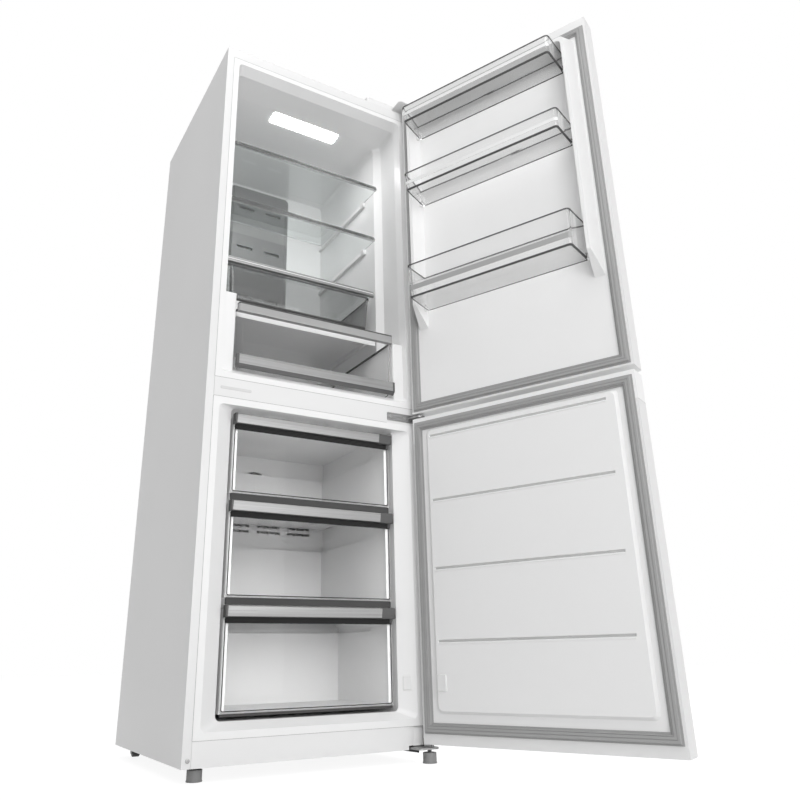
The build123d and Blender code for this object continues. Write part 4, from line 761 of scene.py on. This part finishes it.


# A silver bar: its upper front edge is rounded and its lower one cut off, its underside is
# darker with painted shade, and each end has a raised grey cap.
def makeBar(name, half, front, back, low, high, leftCap, rightCap, chamfer):
    caps = (leftCap - half, half - rightCap)

    def inCap(middle):
        return middle.x < caps[0] or middle.x > caps[1]

    corners = ((-half, front, low), (half, back, high))
    bar = startBox(name, *corners, "silverFilm", "silverPaintedShade", "barCap")
    pickRuns(bar, "x", lambda middle: middle.y < front + near and middle.z > low + near)
    bevel(barShape["topRound"], 3)
    pickRuns(bar, "x", lambda middle: middle.y < front + near and middle.z < low + near)
    bevel(chamfer, 1)
    # Painted shade on the faces that look down.
    paintFaces(bar, 1, lambda middle, normal: normal.z < -leaning)
    for place in caps:
        cutAcross(bar, "x", place)
    pickFaces(
        bar,
        lambda middle, normal: inCap(middle) and abs(normal.x) < halfway and normal.y < halfway,
    )
    swell(barShape["capRise"])
    paintFaces(bar, 2, lambda middle, normal: inCap(middle))
    return bar


crisperBarShape = {
    "half": 0.2250,
    "front": 0.0035,
    "back": 0.0135,
    "low": 0.8985,
    "high": 0.9330,
    "leftCap": 0.006,
    "rightCap": 0.006,
    "chamfer": 0.009,
}
lowerBar = makeBar("lower_crisper_bar", **crisperBarShape)

# The lower crisper's tall front lip: its ribs stand out along every second level line.
lipShape = {
    "half": 0.2245,
    "front": 0.007,
    "depth": 0.014,
    "low": 1.050,
    "high": 1.0735,
    "corner": 0.005,
    "bands": 6,
    "ribRise": 0.0009,
    "darkTop": 0.003,
}
lip = startBox(
    "lower_crisper_lip",
    (-lipShape["half"], lipShape["front"], lipShape["low"]),
    (lipShape["half"], lipShape["front"] + lipShape["depth"], lipShape["high"]),
    "lipPlastic",
    "edgeLine",
)
pickRuns(lip, "z", lambda middle: middle.y < lipShape["front"] + near)
bevel(lipShape["corner"], 4)
bandHeight = (lipShape["high"] - lipShape["low"]) / lipShape["bands"]
for line in range(1, lipShape["bands"]):
    cutAcross(lip, "z", lipShape["low"] + line * bandHeight)
pickRuns(
    lip,
    "x",
    lambda middle: middle.y < lipShape["front"] + near
    and round((middle.z - lipShape["low"]) / bandHeight) % 2 == 1,
)
move((0, -lipShape["ribRise"], 0))
paintFaces(lip, 1, lambda middle, normal: middle.z > lipShape["high"] - lipShape["darkTop"])
settle(lip, "lower_crisper")
settle(lowerBar, "lower_crisper", ["lower_crisper_trim"])

# Shoulders of the liner on both sides of the lower crisper. They narrow towards the back.
shoulderShape = {
    "inner": 0.2287,
    "outerFront": 0.2610,
    "outerBack": 0.2440,
    "front": 0.016,
    "back": 0.400,
    "low": 0.886,
    "leftTop": 1.1000,
    "rightTop": 1.0560,
    "corner": 0.005,
}


def makeShoulder(side, top):
    shape = shoulderShape
    outer = shape["outerFront"]
    shoulder = sideBox(
        "liner_shoulders",
        side,
        (shape["inner"], outer),
        (shape["front"], shape["back"]),
        (shape["low"], top),
        "linerPlastic",
    )
    pickRuns(
        shoulder,
        "z",
        lambda middle: middle.y > shape["back"] - near and abs(middle.x) > outer - near,
    )
    move((side * (shape["outerBack"] - outer), 0, 0))
    pickEdges(
        shoulder,
        lambda middle, run: middle.y < shape["front"] + near and abs(middle.x) < outer - near,
    )
    bevel(shape["corner"], 5)
    return shoulder


leftShoulder = makeShoulder(-1, shoulderShape["leftTop"])
rightShoulder = makeShoulder(1, shoulderShape["rightTop"])
settle(joinPieces([leftShoulder, rightShoulder]), "cabinet")

# A closing strip at the plinth's right end, with its front edges rounded.
plinthEndShape = {
    "low": (0.2500, 0.0029, 0.0345),
    "high": (0.2783, 0.0054, 0.0760),
    "rounding": 0.0008,
    "panel": (0.001,),
}
shape = plinthEndShape
plinthEnd = startBox("kick_plate_end", shape["low"], shape["high"], "capPlastic")
frontEdges = lambda middle, run: middle.y < shape["low"][1] + near / 2
finishStrip(plinthEnd, frontEdges, shape["rounding"], 3, shape["panel"])
settle(plinthEnd, "cabinet")

# A dark stiffening tongue of the bottom hinge, below the plinth. It tapers to the left.
tongueShape = {
    "low": (0.2280, 0.0030, 0.0190),
    "high": (0.2660, 0.0200, 0.0286),
    "taper": (1, 0.45, 0.35),
    "rounding": 0.0008,
}
shape = tongueShape
tongue = startBox("bottom_hinge_tongue", shape["low"], shape["high"], "blackPlastic")
pickSide(tongue, "-x")
resize(shape["taper"], (0, *shape["high"][1:]))
pickEdges(tongue)
bevel(shape["rounding"], 2)
settle(tongue, "cabinet")

# The turned-down front edge of the sheet between the two crispers.
dividerEdgeShape = {
    "low": (-0.2305, 0.1135, 1.0835),
    "high": (0.2305, 0.1172, 1.1300),
    "rounding": 0.0012,
    "panel": (0.003, -0.0004),
}
shape = dividerEdgeShape
dividerEdge = startBox("divider_front_edge", shape["low"], shape["high"], "capPlastic")
finishStrip(
    dividerEdge, lambda middle, run: abs(run.x) > straight, shape["rounding"], 3, shape["panel"]
)
settle(dividerEdge, "cabinet")
print("crispers modelled")

# Freezer drawer fronts: a clear window with a framed edge, and a silver bar over a channel
# that is near black as painted shade.
# The values below the bar's are gaps to the front's sides, window and rim, and set-in panels.
drawerShape = {
    "half": 0.216,
    "front": 0.030,
    "back": 0.033,
    "corner": 0.009,
    "frame": 0.0035,
    "groove": 0.0012,
    "grooveDepth": 0.0008,
    "barHeight": 0.0185,
    "barRise": 0.0055,
    "barFront": 0.014,
    "barChamfer": 0.0015,
    "barLean": 0.003,
    "leftCap": 0.005,
    "rightCap": 0.036,
    "channelSide": 0.004,
    "channelDepth": 0.0035,
    "channelDrop": 0.013,
    "channelPanel": (0.002, -0.0012),
    "hookInner": 0.010,
    "hookOuter": 0.003,
    "hookDepth": 0.009,
    "hookTop": 0.0009,
    "hookDrop": 0.011,
    "hookTaper": (1, 0.5, 1),
    "hookRound": 0.0010,
    "skirtSide": 0.003,
    "skirtFront": 0.0005,
    "skirtBack": 0.006,
    "skirtTop": 0.0002,
    "skirtPanel": (0.0015, -0.0008),
    "stripRound": 0.0015,
    "flangeSide": 0.0025,
    "flangeWidth": 0.010,
    "flangeFront": 0.0004,
    "flangeBack": 0.0028,
    "flangeBottom": 0.005,
    "flangeTop": 0.004,
    "flangeRound": 0.0008,
    "flangePanel": (0.003, -0.0006),
}


def makeWindow(name, low, high):
    shape = drawerShape
    half, front = shape["half"], shape["front"]
    corners = ((-half, front, low), (half, shape["back"], high))
    window = startBox(name, *corners, "clearBox", "edgeLine")
    pickRuns(window, "y", lambda middle: middle.z < low + near)
    bevel(shape["corner"], 6)
    pickSide(window, "-y")
    inset(shape["frame"])
    inset(shape["groove"], -shape["grooveDepth"])
    inset(shape["groove"], shape["grooveDepth"])
    paintFaces(
        window,
        1,
        lambda middle, normal: middle.y < front + near
        and leaning < abs(normal.x) + abs(normal.z) < straight,
    )
    return window


# A level strip across the drawer, between two depths and levels. Its lower edges are rounded.
def makeCrossStrip(name, finish, side, depths, levels, segments, panel):
    half = drawerShape["half"] - side
    strip = startBox(name, (-half, depths[0], levels[0]), (half, depths[1], levels[1]), finish)
    middleLevel = (levels[0] + levels[1]) / 2
    lowEdges = lambda middle, run: abs(run.x) > straight and middle.z < middleLevel
    finishStrip(strip, lowEdges, drawerShape["stripRound"], segments, panel)
    return strip


def makeDrawerFront(number, low, high, skirtDrop):
    shape = drawerShape
    half, front, back = shape["half"], shape["front"], shape["back"]
    rim = high - shape["barHeight"]
    body = f"freezer_drawer_{number}"
    name = f"drawer_{number}_"
    settle(makeWindow(name + "pane", low, rim), body, [name + "window"])

    caps = (shape["leftCap"], shape["rightCap"])
    levels = (rim, high + shape["barRise"])
    barFront = shape["barFront"]
    rail = makeBar(name + "rail", half, barFront, back, *levels, *caps, shape["barChamfer"])
    # The bright face leans back towards its lower edge.
    leanBelow = rim + 2 * shape["barChamfer"]
    pickRuns(rail, "x", lambda middle: middle.y < barFront + 2 * near and middle.z < leanBelow)
    move((0, shape["barLean"], 0))
    settle(rail, body, [name + "bar"])

    # The channel below the bar, for the fingers, near black as painted shade.
    depths = (front - shape["channelDepth"], front - hair)
    levels = (rim - shape["channelDrop"], rim - hair)
    channel = makeCrossStrip(
        name + "channel",
        "channelPaintedShade",
        shape["channelSide"],
        depths,
        levels,
        2,
        shape["channelPanel"],
    )
    settle(channel, body)

    hook = startBox(
        name + "hook",
        (half - shape["hookInner"], front - shape["hookDepth"], rim - shape["hookDrop"]),
        (half - shape["hookOuter"], front - hair, rim - shape["hookTop"]),
        "barCap",
    )
    pickSide(hook, "-z")
    resize(shape["hookTaper"], (0, front, 0))
    pickEdges(hook)
    bevel(shape["hookRound"], 2)
    settle(hook, body)

    # A strip under the window, near black as painted shade in the gap below the drawer.
    depths = (front + shape["skirtFront"], front + shape["skirtBack"])
    levels = (low - skirtDrop, low - shape["skirtTop"])
    skirt = makeCrossStrip(
        name + "skirt", "skirtPaintedShade", shape["skirtSide"], depths, levels, 3, shape["skirtPanel"]
    )
    settle(skirt, body)

    # White flanges of the box, seen through the window along both sides.
    outer = half - shape["flangeSide"]
    flanges = []
    for side in (-1, 1):
        flange = sideBox(
            name + "flanges",
            side,
            (outer - shape["flangeWidth"], outer),
            (back + shape["flangeFront"], back + shape["flangeBack"]),
            (low + shape["flangeBottom"], rim - shape["flangeTop"]),
            "capPlastic",
        )
        upright = lambda middle, run: abs(run.z) > straight
        finishStrip(flange, upright, shape["flangeRound"], 2, shape["flangePanel"])
        flanges.append(flange)
    settle(joinPieces(flanges), body)


for number, low, high, skirtDrop in (
    (1, 0.594, 0.7785, 0.0155),
    (2, 0.360, 0.5695, 0.0155),
    (3, 0.122, 0.3365, 0.006),
):
    makeDrawerFront(number, low, high, skirtDrop)
print("drawer fronts modelled")

# Front trims of the two upper shelves: clear, rounded at both ends, with a groove along the
# front and a slot behind it for the glass.
shelfShape = {
    "topLevel": 1.617,
    "topFront": 0.092,
    "middleLevel": 1.4431,
    "middleFront": 0.107,
    "coverLevel": 1.262,
    "half": 0.236,
    "trimDepth": 0.012,
    "trimHeight": 0.009,
    "trimDrop": 0.0065,
    "corner": 0.011,
    "glass": 0.0041,
    "edge": 0.0012,
    "groove": 0.0018,
    "grooveStep": (0.0004, -0.0008),
}


# A box with rounded ends at its front, and the glass's slot behind.
def makeSlottedTrim(name, half, depths, levels, corner, slotFront, slotLevels, *names):
    front, back = depths
    trim = startBox(name, (-half, front, levels[0]), (half, back, levels[1]), *names)
    pickRuns(trim, "z", lambda middle: middle.y < front + near)
    bevel(corner, 6)
    low, high = slotLevels
    slot = startBox("slot", (-half - past, slotFront, low), (half + past, back + past, high))
    cutAway(trim, slot)
    return trim


# Rounds the level edges along the trim's top and bottom, up to its back.
def roundTrim(trim, back, levels, margin, width, segments):
    pickEdges(
        trim,
        lambda middle, run: middle.y < back - near
        and not levels[0] + margin < middle.z < levels[1] - margin
        and abs(run.z) < across,
    )
    bevel(width, segments)


def makeShelfTrim(name, level, front):
    shape = shelfShape
    low = level - shape["trimDrop"]
    depths = (front, front + shape["trimDepth"])
    levels = (low, low + shape["trimHeight"])
    slotFront = front + shape["trimDepth"] / 3 - hair
    slotLevels = (level - shape["glass"], level + hair)
    trim = makeSlottedTrim(
        name, shape["half"], depths, levels, shape["corner"], slotFront, slotLevels, "shelfEdge"
    )
    roundTrim(trim, depths[1], levels, hair, shape["edge"], 2)
    pickFaces(
        trim,
        lambda middle, normal: normal.y < -leaning
        and abs(normal.z) < across
        and middle.y < front + 3 * near,
    )
    inset(shape["groove"])
    inset(*shape["grooveStep"])
    return trim


topTrim = makeShelfTrim("shelf_front_trims", shelfShape["topLevel"], shelfShape["topFront"])
middleTrim = makeShelfTrim("middle_trim", shelfShape["middleLevel"], shelfShape["middleFront"])
settle(joinPieces([topTrim, middleTrim]), "cabinet", ["shelf_trims"])

# The crisper cover's deeper trim: silver, rounded at both ends, with two grooves and a pale
# painted highlight line between them.
coverTrimShape = {
    "half": 0.236,
    "depths": (0.120, 0.132),
    "levels": (1.249, 1.264),
    "corner": 0.008,
    "slotFront": 0.1239,
    "slotLevels": (1.2579, 1.2621),
    "lines": (1.2535, 1.2555, 1.2590, 1.2605),
    "grooveDepth": 0.0012,
    "edge": 0.0015,
}


def makeCoverTrim():
    shape = coverTrimShape
    first, second, third, fourth = shape["lines"]
    keys = ("half", "depths", "levels", "corner", "slotFront", "slotLevels")
    values = [shape[key] for key in keys]
    trim = makeSlottedTrim("cover_trim_steps", *values, "silverFilm", "coverTrimPale")
    for height in shape["lines"]:
        cutAcross(trim, "z", height)
    pickFaces(
        trim,
        lambda middle, normal: normal.y < halfway
        and abs(normal.z) < halfway
        and (first < middle.z < second or third < middle.z < fourth),
    )
    swell(-shape["grooveDepth"])
    # The painted highlight between the grooves.
    paintFaces(trim, 1, lambda middle, normal: normal.y < -leaning and second < middle.z < third)
    roundTrim(trim, shape["depths"][1], shape["levels"], near / 2, shape["edge"], 3)
    settle(trim, "cabinet", ["crisper_cover_trim"])


makeCoverTrim()
print("shelf trims modelled")

# Door seals: a foot in the door's groove and a magnetic head with two lengthwise lines, mitred.
# The lines are grooves whose floors have painted shade.
# Each step is an inset's width and the height gained in it.
sealLine = ((0.0005, -0.0010), (0.0009, 0.0), (0.0005, 0.0010))
sealShape = {
    "half": 0.291,
    "back": -0.008,
    "foot": 0.0024,
    "outerLip": 0.0032,
    "innerLip": 0.0034,
    "steps": (
        *((0.0006, 0.0044), (0.0010, 0.0008), (0.0048, 0.0)),
        *sealLine,
        (0.0046, 0.0),
        *sealLine,
        *((0.0010, -0.0008), (0.0011, -0.0044)),
    ),
    "lineLow": 0.003,
    "lineHigh": 0.0048,
    "smoothAngle": 20,
}


def makeSeal(name, low, high, body, node):
    shape = sealShape
    foot = shape["back"] + shape["foot"]
    middleLevel = (low + high) / 2
    corners = ((-shape["half"], shape["back"], low), (shape["half"], foot, high))
    seal = startBox(name, *corners, "sealRubber", "sealGroovePaintedShade")
    pickSide(seal, "+y")
    inset(shape["outerLip"])
    for thickness, depth in shape["steps"]:
        inset(thickness, depth)
    inset(shape["innerLip"])
    total = shape["outerLip"] + shape["innerLip"] + sum(step[0] for step in shape["steps"])
    pickSide(seal, "-y")
    inset(total)
    # The two middle faces are bridged, which opens the frame.
    pickFaces(
        seal,
        lambda middle, normal: abs(normal.y) > straight
        and abs(middle.x) < near
        and abs(middle.z - middleLevel) < near,
    )
    bpy.ops.mesh.bridge_edge_loops()
    # Painted shade on the floors of the two grooves.
    lines = (foot + shape["lineLow"], foot + shape["lineHigh"])
    paintFaces(
        seal, 1, lambda middle, normal: normal.y > straight and lines[0] < middle.y < lines[1]
    )
    settle(seal, body, [node], shape["smoothAngle"])


makeSeal("upper_door_seal", 0.845, 1.827, "upper_door", "upper_door_gasket")
makeSeal("lower_door_seal", 0.062, 0.814, "lower_door", "lower_door_gasket")
print("door seals modelled")

# Ceiling lamp: a rounded lens with a raised rim, under its housing.
lampShape = {
    "low": (-0.1077, 0.1123, 1.7812),
    "high": (0.1077, 0.1577, 1.7835),
    "corner": 0.005,
    "rimStep": (0.0025, 0.0006),
    "lensStep": (0.0015, -0.0004),
    "flareHeight": 0.0035,
    "flare": (1.04, 1.15, 1),
    "housing": 0.012,
}


def makeCeilingLamp():
    shape = lampShape
    low, high = shape["low"], shape["high"]
    lamp = startBox("ceiling_lamp", low, high, "lampLens", "capPlastic")
    pickRuns(lamp, "z")
    bevel(shape["corner"], 6)
    pickSide(lamp, "-z")
    inset(*shape["rimStep"])
    inset(*shape["lensStep"])
    pickSide(lamp, "+z")
    extrude(shape["flareHeight"])
    resize(shape["flare"], (0, (low[1] + high[1]) / 2, 0))
    extrude(shape["housing"])
    paintFaces(lamp, 1, lambda middle, normal: middle.z > high[2] + near / 2)
    settle(lamp, "cabinet", ["ceiling_light"])


makeCeilingLamp()
print("ceiling lamp modelled")

# Screws with a cross recess. One head is modelled, and all the others are copies of it.
screwShape = {
    "radius": 0.0045,
    "head": 0.002,
    "edge": 0.0006,
    "crossReach": 0.62,
    "crossWidth": 0.0012,
    "crossDepth": 0.0011,
}
screwPlaces = (
    ((0.206, -0.0025, 0.8325), "Y"),
    ((0.250, -0.0025, 0.8325), "Y"),
    ((-0.2855, 0.0, 0.042), "Y"),
    ((0.254, 0.064, 1.853), "Z"),
    ((0.280, 0.064, 1.853), "Z"),
    ((0.247, 0.049, 0.033), "Z"),
    ((0.2685, 0.049, 0.033), "Z"),
)


def makeScrew():
    shape = screwShape
    radius, head = shape["radius"], shape["head"]
    screw = startRod("screw", (0, 0, head / 2), radius, head, 28, "screwSteel")
    pickEdges(screw, lambda middle, run: middle.z > head - hair)
    bevel(shape["edge"], 3)
    long, short = radius * shape["crossReach"], shape["crossWidth"] / 2
    for x, y in ((long, short), (short, long)):
        cross = startBox("cross", (-x, -y, head - shape["crossDepth"]), (x, y, head + near))
        cutAway(screw, cross)
    return screw


firstScrew = makeScrew()
screws = []
for place, axis in screwPlaces:
    screw = firstScrew.copy()
    screw.data = firstScrew.data.copy()
    bpy.context.scene.collection.objects.link(screw)
    screw.location = place
    if axis == "Y":
        screw.rotation_euler = (math.pi / 2, 0, 0)
    screws.append(screw)
bpy.data.objects.remove(firstScrew)
selectPieces(screws)
bpy.ops.object.transform_apply(location=True, rotation=True, scale=True)
screwHeads = joinPieces(screws)
screwHeads.name = "hinge_screw_heads"
settle(screwHeads, "cabinet", ["hinge_screws"])
print("screws modelled")

# Levelling feet: a flanged round body on a threaded stem.
footShape = {
    "radius": 0.0165,
    "flange": 0.0030,
    "bodyRadius": 0.0156,
    "body": 0.0225,
    "edge": 0.0009,
    "dishInset": 0.003,
    "dish": 0.001,
    "stem": 0.005,
    "thread": 0.0006,
    "pitch": 0.0015,
}


def makeFoot(body, name, x, y, top):
    shape = footShape

    def offAxis(middle):
        return math.hypot(middle.x - x, middle.y - y)

    skins = ("footPlastic", "hingeSteel")
    flange = shape["flange"]
    pad = startRod(name, (x, y, flange / 2), shape["radius"], flange, 40, *skins)
    pickSide(pad, "+z")
    inset(shape["radius"] - shape["bodyRadius"])
    extrude(shape["body"] - flange)
    pickEdges(pad, lambda middle, run: abs(run.z) < across and offAxis(middle) > 10 * near)
    bevel(shape["edge"], 3)
    pickFaces(pad, lambda middle, normal: normal.z > straight and offAxis(middle) < near)
    inset(shape["dishInset"])
    inset(shape["dish"], -shape["dish"])
    stemLow = shape["body"] - shape["dish"]
    stem = startRod("stem", (x, y, stemLow), shape["stem"], shape["dish"], 24, *skins)
    pickSide(stem, "+z")
    turns = int((top - stemLow - shape["thread"]) / shape["pitch"])
    share = (shape["stem"] - shape["thread"]) / shape["stem"]
    for turn in range(2 * turns):
        extrude(shape["pitch"] / 2)
        scale = share if turn % 2 == 0 else 1 / share
        resize((scale, scale, 1), (x, y, 0))
    paintFaces(stem, 1)
    settle(joinPieces([pad, stem]), body, [body])


makeFoot("foot_left", "left_levelling_foot", -0.260, 0.030, 0.029)
makeFoot("foot_right", "right_levelling_foot", 0.274, -0.028, 0.033)
print("feet modelled")

# White blocks that carry each shelf at both side walls.
bracketShape = {
    "inner": 0.2275,
    "outer": 0.2408,
    "front": 0.176,
    "length": 0.020,
    "height": 0.013,
    "below": 0.0045,
    "taper": (0.6, 0.8, 1),
    "rounding": 0.0015,
}


def makeBracket(side, level):
    shape = bracketShape
    back = shape["front"] + shape["length"]
    top = level - shape["below"]
    block = sideBox(
        "shelf_brackets",
        side,
        (shape["inner"], shape["outer"]),
        (shape["front"], back),
        (top - shape["height"], top),
        "capPlastic",
    )
    pickSide(block, "-z")
    resize(shape["taper"], (side * shape["outer"], back, 0))
    pickEdges(block)
    bevel(shape["rounding"], 3)
    return block


brackets = []
for level in ("topLevel", "middleLevel", "coverLevel"):
    for side in (-1, 1):
        brackets.append(makeBracket(side, shelfShape[level]))
settle(joinPieces(brackets), "cabinet")
print("shelf brackets modelled")

# Thin grey beads in the joints round the two openings and along the plinth.
# Each one is given by its left, right, low and high edge.
beadShape = {"proud": 0.00025, "deep": 0.0006, "panel": (0.0002, 0.0001)}
beads = []
for left, right, low, high in (
    (-0.2790, -0.2781, 0.8625, 1.8190),
    (0.2781, 0.2790, 0.8625, 1.8190),
    (-0.2790, -0.2781, 0.0770, 0.8135),
    (0.2781, 0.2790, 0.0770, 0.8135),
    (-0.2780, 0.2780, 0.8616, 0.8625),
    (-0.2780, 0.1940, 0.8136, 0.8145),
    (-0.2780, 0.2780, 0.0762, 0.0770),
    (-0.2780, 0.2780, 1.8192, 1.8201),
):
    corners = ((left, -beadShape["proud"], low), (right, beadShape["deep"], high))
    bead = startBox("joint_beads", *corners, "seamBead")
    pickSide(bead, "-y")
    inset(*beadShape["panel"])
    beads.append(bead)
settle(joinPieces(beads), "cabinet")

# The lower door panel's pressed grooves: a raised lip below each one, lightened as painted
# light, and painted shade on its floor.
grooveShape = {
    "left": -0.2285,
    "right": 0.2415,
    "first": 0.2595,
    "pitch": 0.16833,
    "count": 4,
    "lipDepths": (-0.0006, 0.0011),
    "lipLevels": (-0.0032, 0.0006),
    "lipRound": 0.0007,
    "floorEnds": 0.001,
    "floorDepths": (-0.0031, -0.0016),
    "floorLevels": (0.0014, 0.0050),
    "floorRound": 0.0006,
}


# A rounded bar along the groove, in the depths and levels that its kind says.
def makeGrooveBar(kind, level, shorter, backEdge, segments):
    shape = grooveShape
    front, back = shape[kind + "Depths"]
    low, high = shape[kind + "Levels"]
    bar = startBox(
        "panel_groove_lips",
        (shape["left"] + shorter, front, level + low),
        (shape["right"] - shorter, back, level + high),
        "capPaintedLight",
        "grooveShade",
    )
    pickRuns(bar, "x", lambda middle: middle.y > backEdge)
    bevel(shape[kind + "Round"], segments)
    return bar


grooveBars = []
for count in range(grooveShape["count"]):
    level = grooveShape["first"] + count * grooveShape["pitch"]
    grooveBars.append(makeGrooveBar("lip", level, 0, 0, 3))
    grooveFloor = makeGrooveBar("floor", level, grooveShape["floorEnds"], -0.002, 2)
    # Painted shade on the groove's floor.
    paintFaces(grooveFloor, 1)
    grooveBars.append(grooveFloor)
settle(joinPieces(grooveBars), "lower_door")

# The joint between the lower door's sheet and its grip cap.
capJointShape = {
    "low": (-0.29715, -0.06515, 0.7571),
    "high": (0.29715, -0.0105, 0.7577),
    "corner": 0.005,
    "edge": 0.004,
}
shape = capJointShape
capJoint = startBox("lower_door_cap_joint", shape["low"], shape["high"], "seamBead")
pickRuns(capJoint, "z", lambda middle: middle.y < shape["low"][1] + near)
bevel(shape["corner"], 5)
pickFaces(capJoint, lambda middle, normal: abs(normal.z) > straight)
inset(shape["edge"])
settle(capJoint, "lower_door")
print("joints modelled")

studioSetup = {
    "floorHalf": 14,
    "floorPaleness": 0.85,
    "floorRoughness": 0.6,
    "floorGlow": 1.2,
    "floorShare": 0.75,
    "worldLight": 0.36,
}
lampSetup = {
    "keyLamp": {"place": (-0.9, -3.7, 1.7), "target": (0.0, 0.2, 1.0), "size": 2.2, "power": 42},
    "fillLamp": {"place": (0.5, -3.7, 0.8), "target": (0.0, 0.2, 1.0), "size": 2.0, "power": 22},
    "topLamp": {"place": (-0.6, -1.7, 3.4), "target": (0.0, 0.0, 1.0), "size": 1.8, "power": 30},
    "rearLamp": {"place": (2.8, 2.8, 2.0), "target": (0.0, 0.3, 0.9), "size": 2.2, "power": 60},
}


# 1 for rays from the camera and those that go on through or off clear and shiny pieces.
def seenByCamera(tree):
    path = placeNode(tree, "ShaderNodeLightPath", (-4, 4))
    glossy, through = path.outputs["Is Glossy Ray"], path.outputs["Is Transmission Ray"]
    mirror = mathNode(tree, "MAXIMUM", (-2, 3), glossy, through)
    return mathNode(tree, "MAXIMUM", (-1, 3), path.outputs["Is Camera Ray"], mirror)


def makeFloor():
    setup = studioSetup
    clearSelection()
    bpy.ops.mesh.primitive_circle_add(vertices=96, radius=setup["floorHalf"], fill_type="NGON")
    floor = bpy.context.object
    floor.name = "studioFloor"
    material = bpy.data.materials.new("paleFloor")
    material.use_nodes = True
    tree = material.node_tree
    shader = tree.nodes["Principled BSDF"]
    shader.inputs["Base Color"].default_value = grey(setup["floorPaleness"])
    shader.inputs["Roughness"].default_value = setup["floorRoughness"]
    glow = placeNode(tree, "ShaderNodeEmission", (0, -3), Strength=setup["floorGlow"])
    share = mathNode(tree, "MULTIPLY", (0, 3), seenByCamera(tree), setup["floorShare"])
    output = tree.nodes["Material Output"]
    mixShaders(tree, share, shader.outputs["BSDF"], glow.outputs["Emission"], output)
    floor.data.materials.append(material)


def makeWorld():
    world = bpy.data.worlds.new("studioWorld")
    bpy.context.scene.world = world
    world.use_nodes = True
    tree = world.node_tree
    light = tree.nodes["Background"]
    light.inputs["Color"].default_value = grey(1.0)
    light.inputs["Strength"].default_value = studioSetup["worldLight"]
    white = placeNode(tree, "ShaderNodeBackground", (0, -2), Color=grey(1.0))
    lightOut, whiteOut = light.outputs["Background"], white.outputs["Background"]
    mixShaders(tree, seenByCamera(tree), lightOut, whiteOut, tree.nodes["World Output"])


def makeLamp(name, place, target, size, power):
    bpy.ops.object.light_add(type="AREA", location=place)
    lamp = bpy.context.object
    lamp.name = name
    lamp.data.energy = power
    lamp.data.size = size
    aim = Vector(target) - Vector(place)
    lamp.rotation_euler = aim.to_track_quat("-Z", "Y").to_euler()


makeFloor()
makeWorld()
for name, setup in lampSetup.items():
    makeLamp(name, **setup)
print("studio ready")

scene = bpy.context.scene
scene.view_settings.view_transform = "Standard"
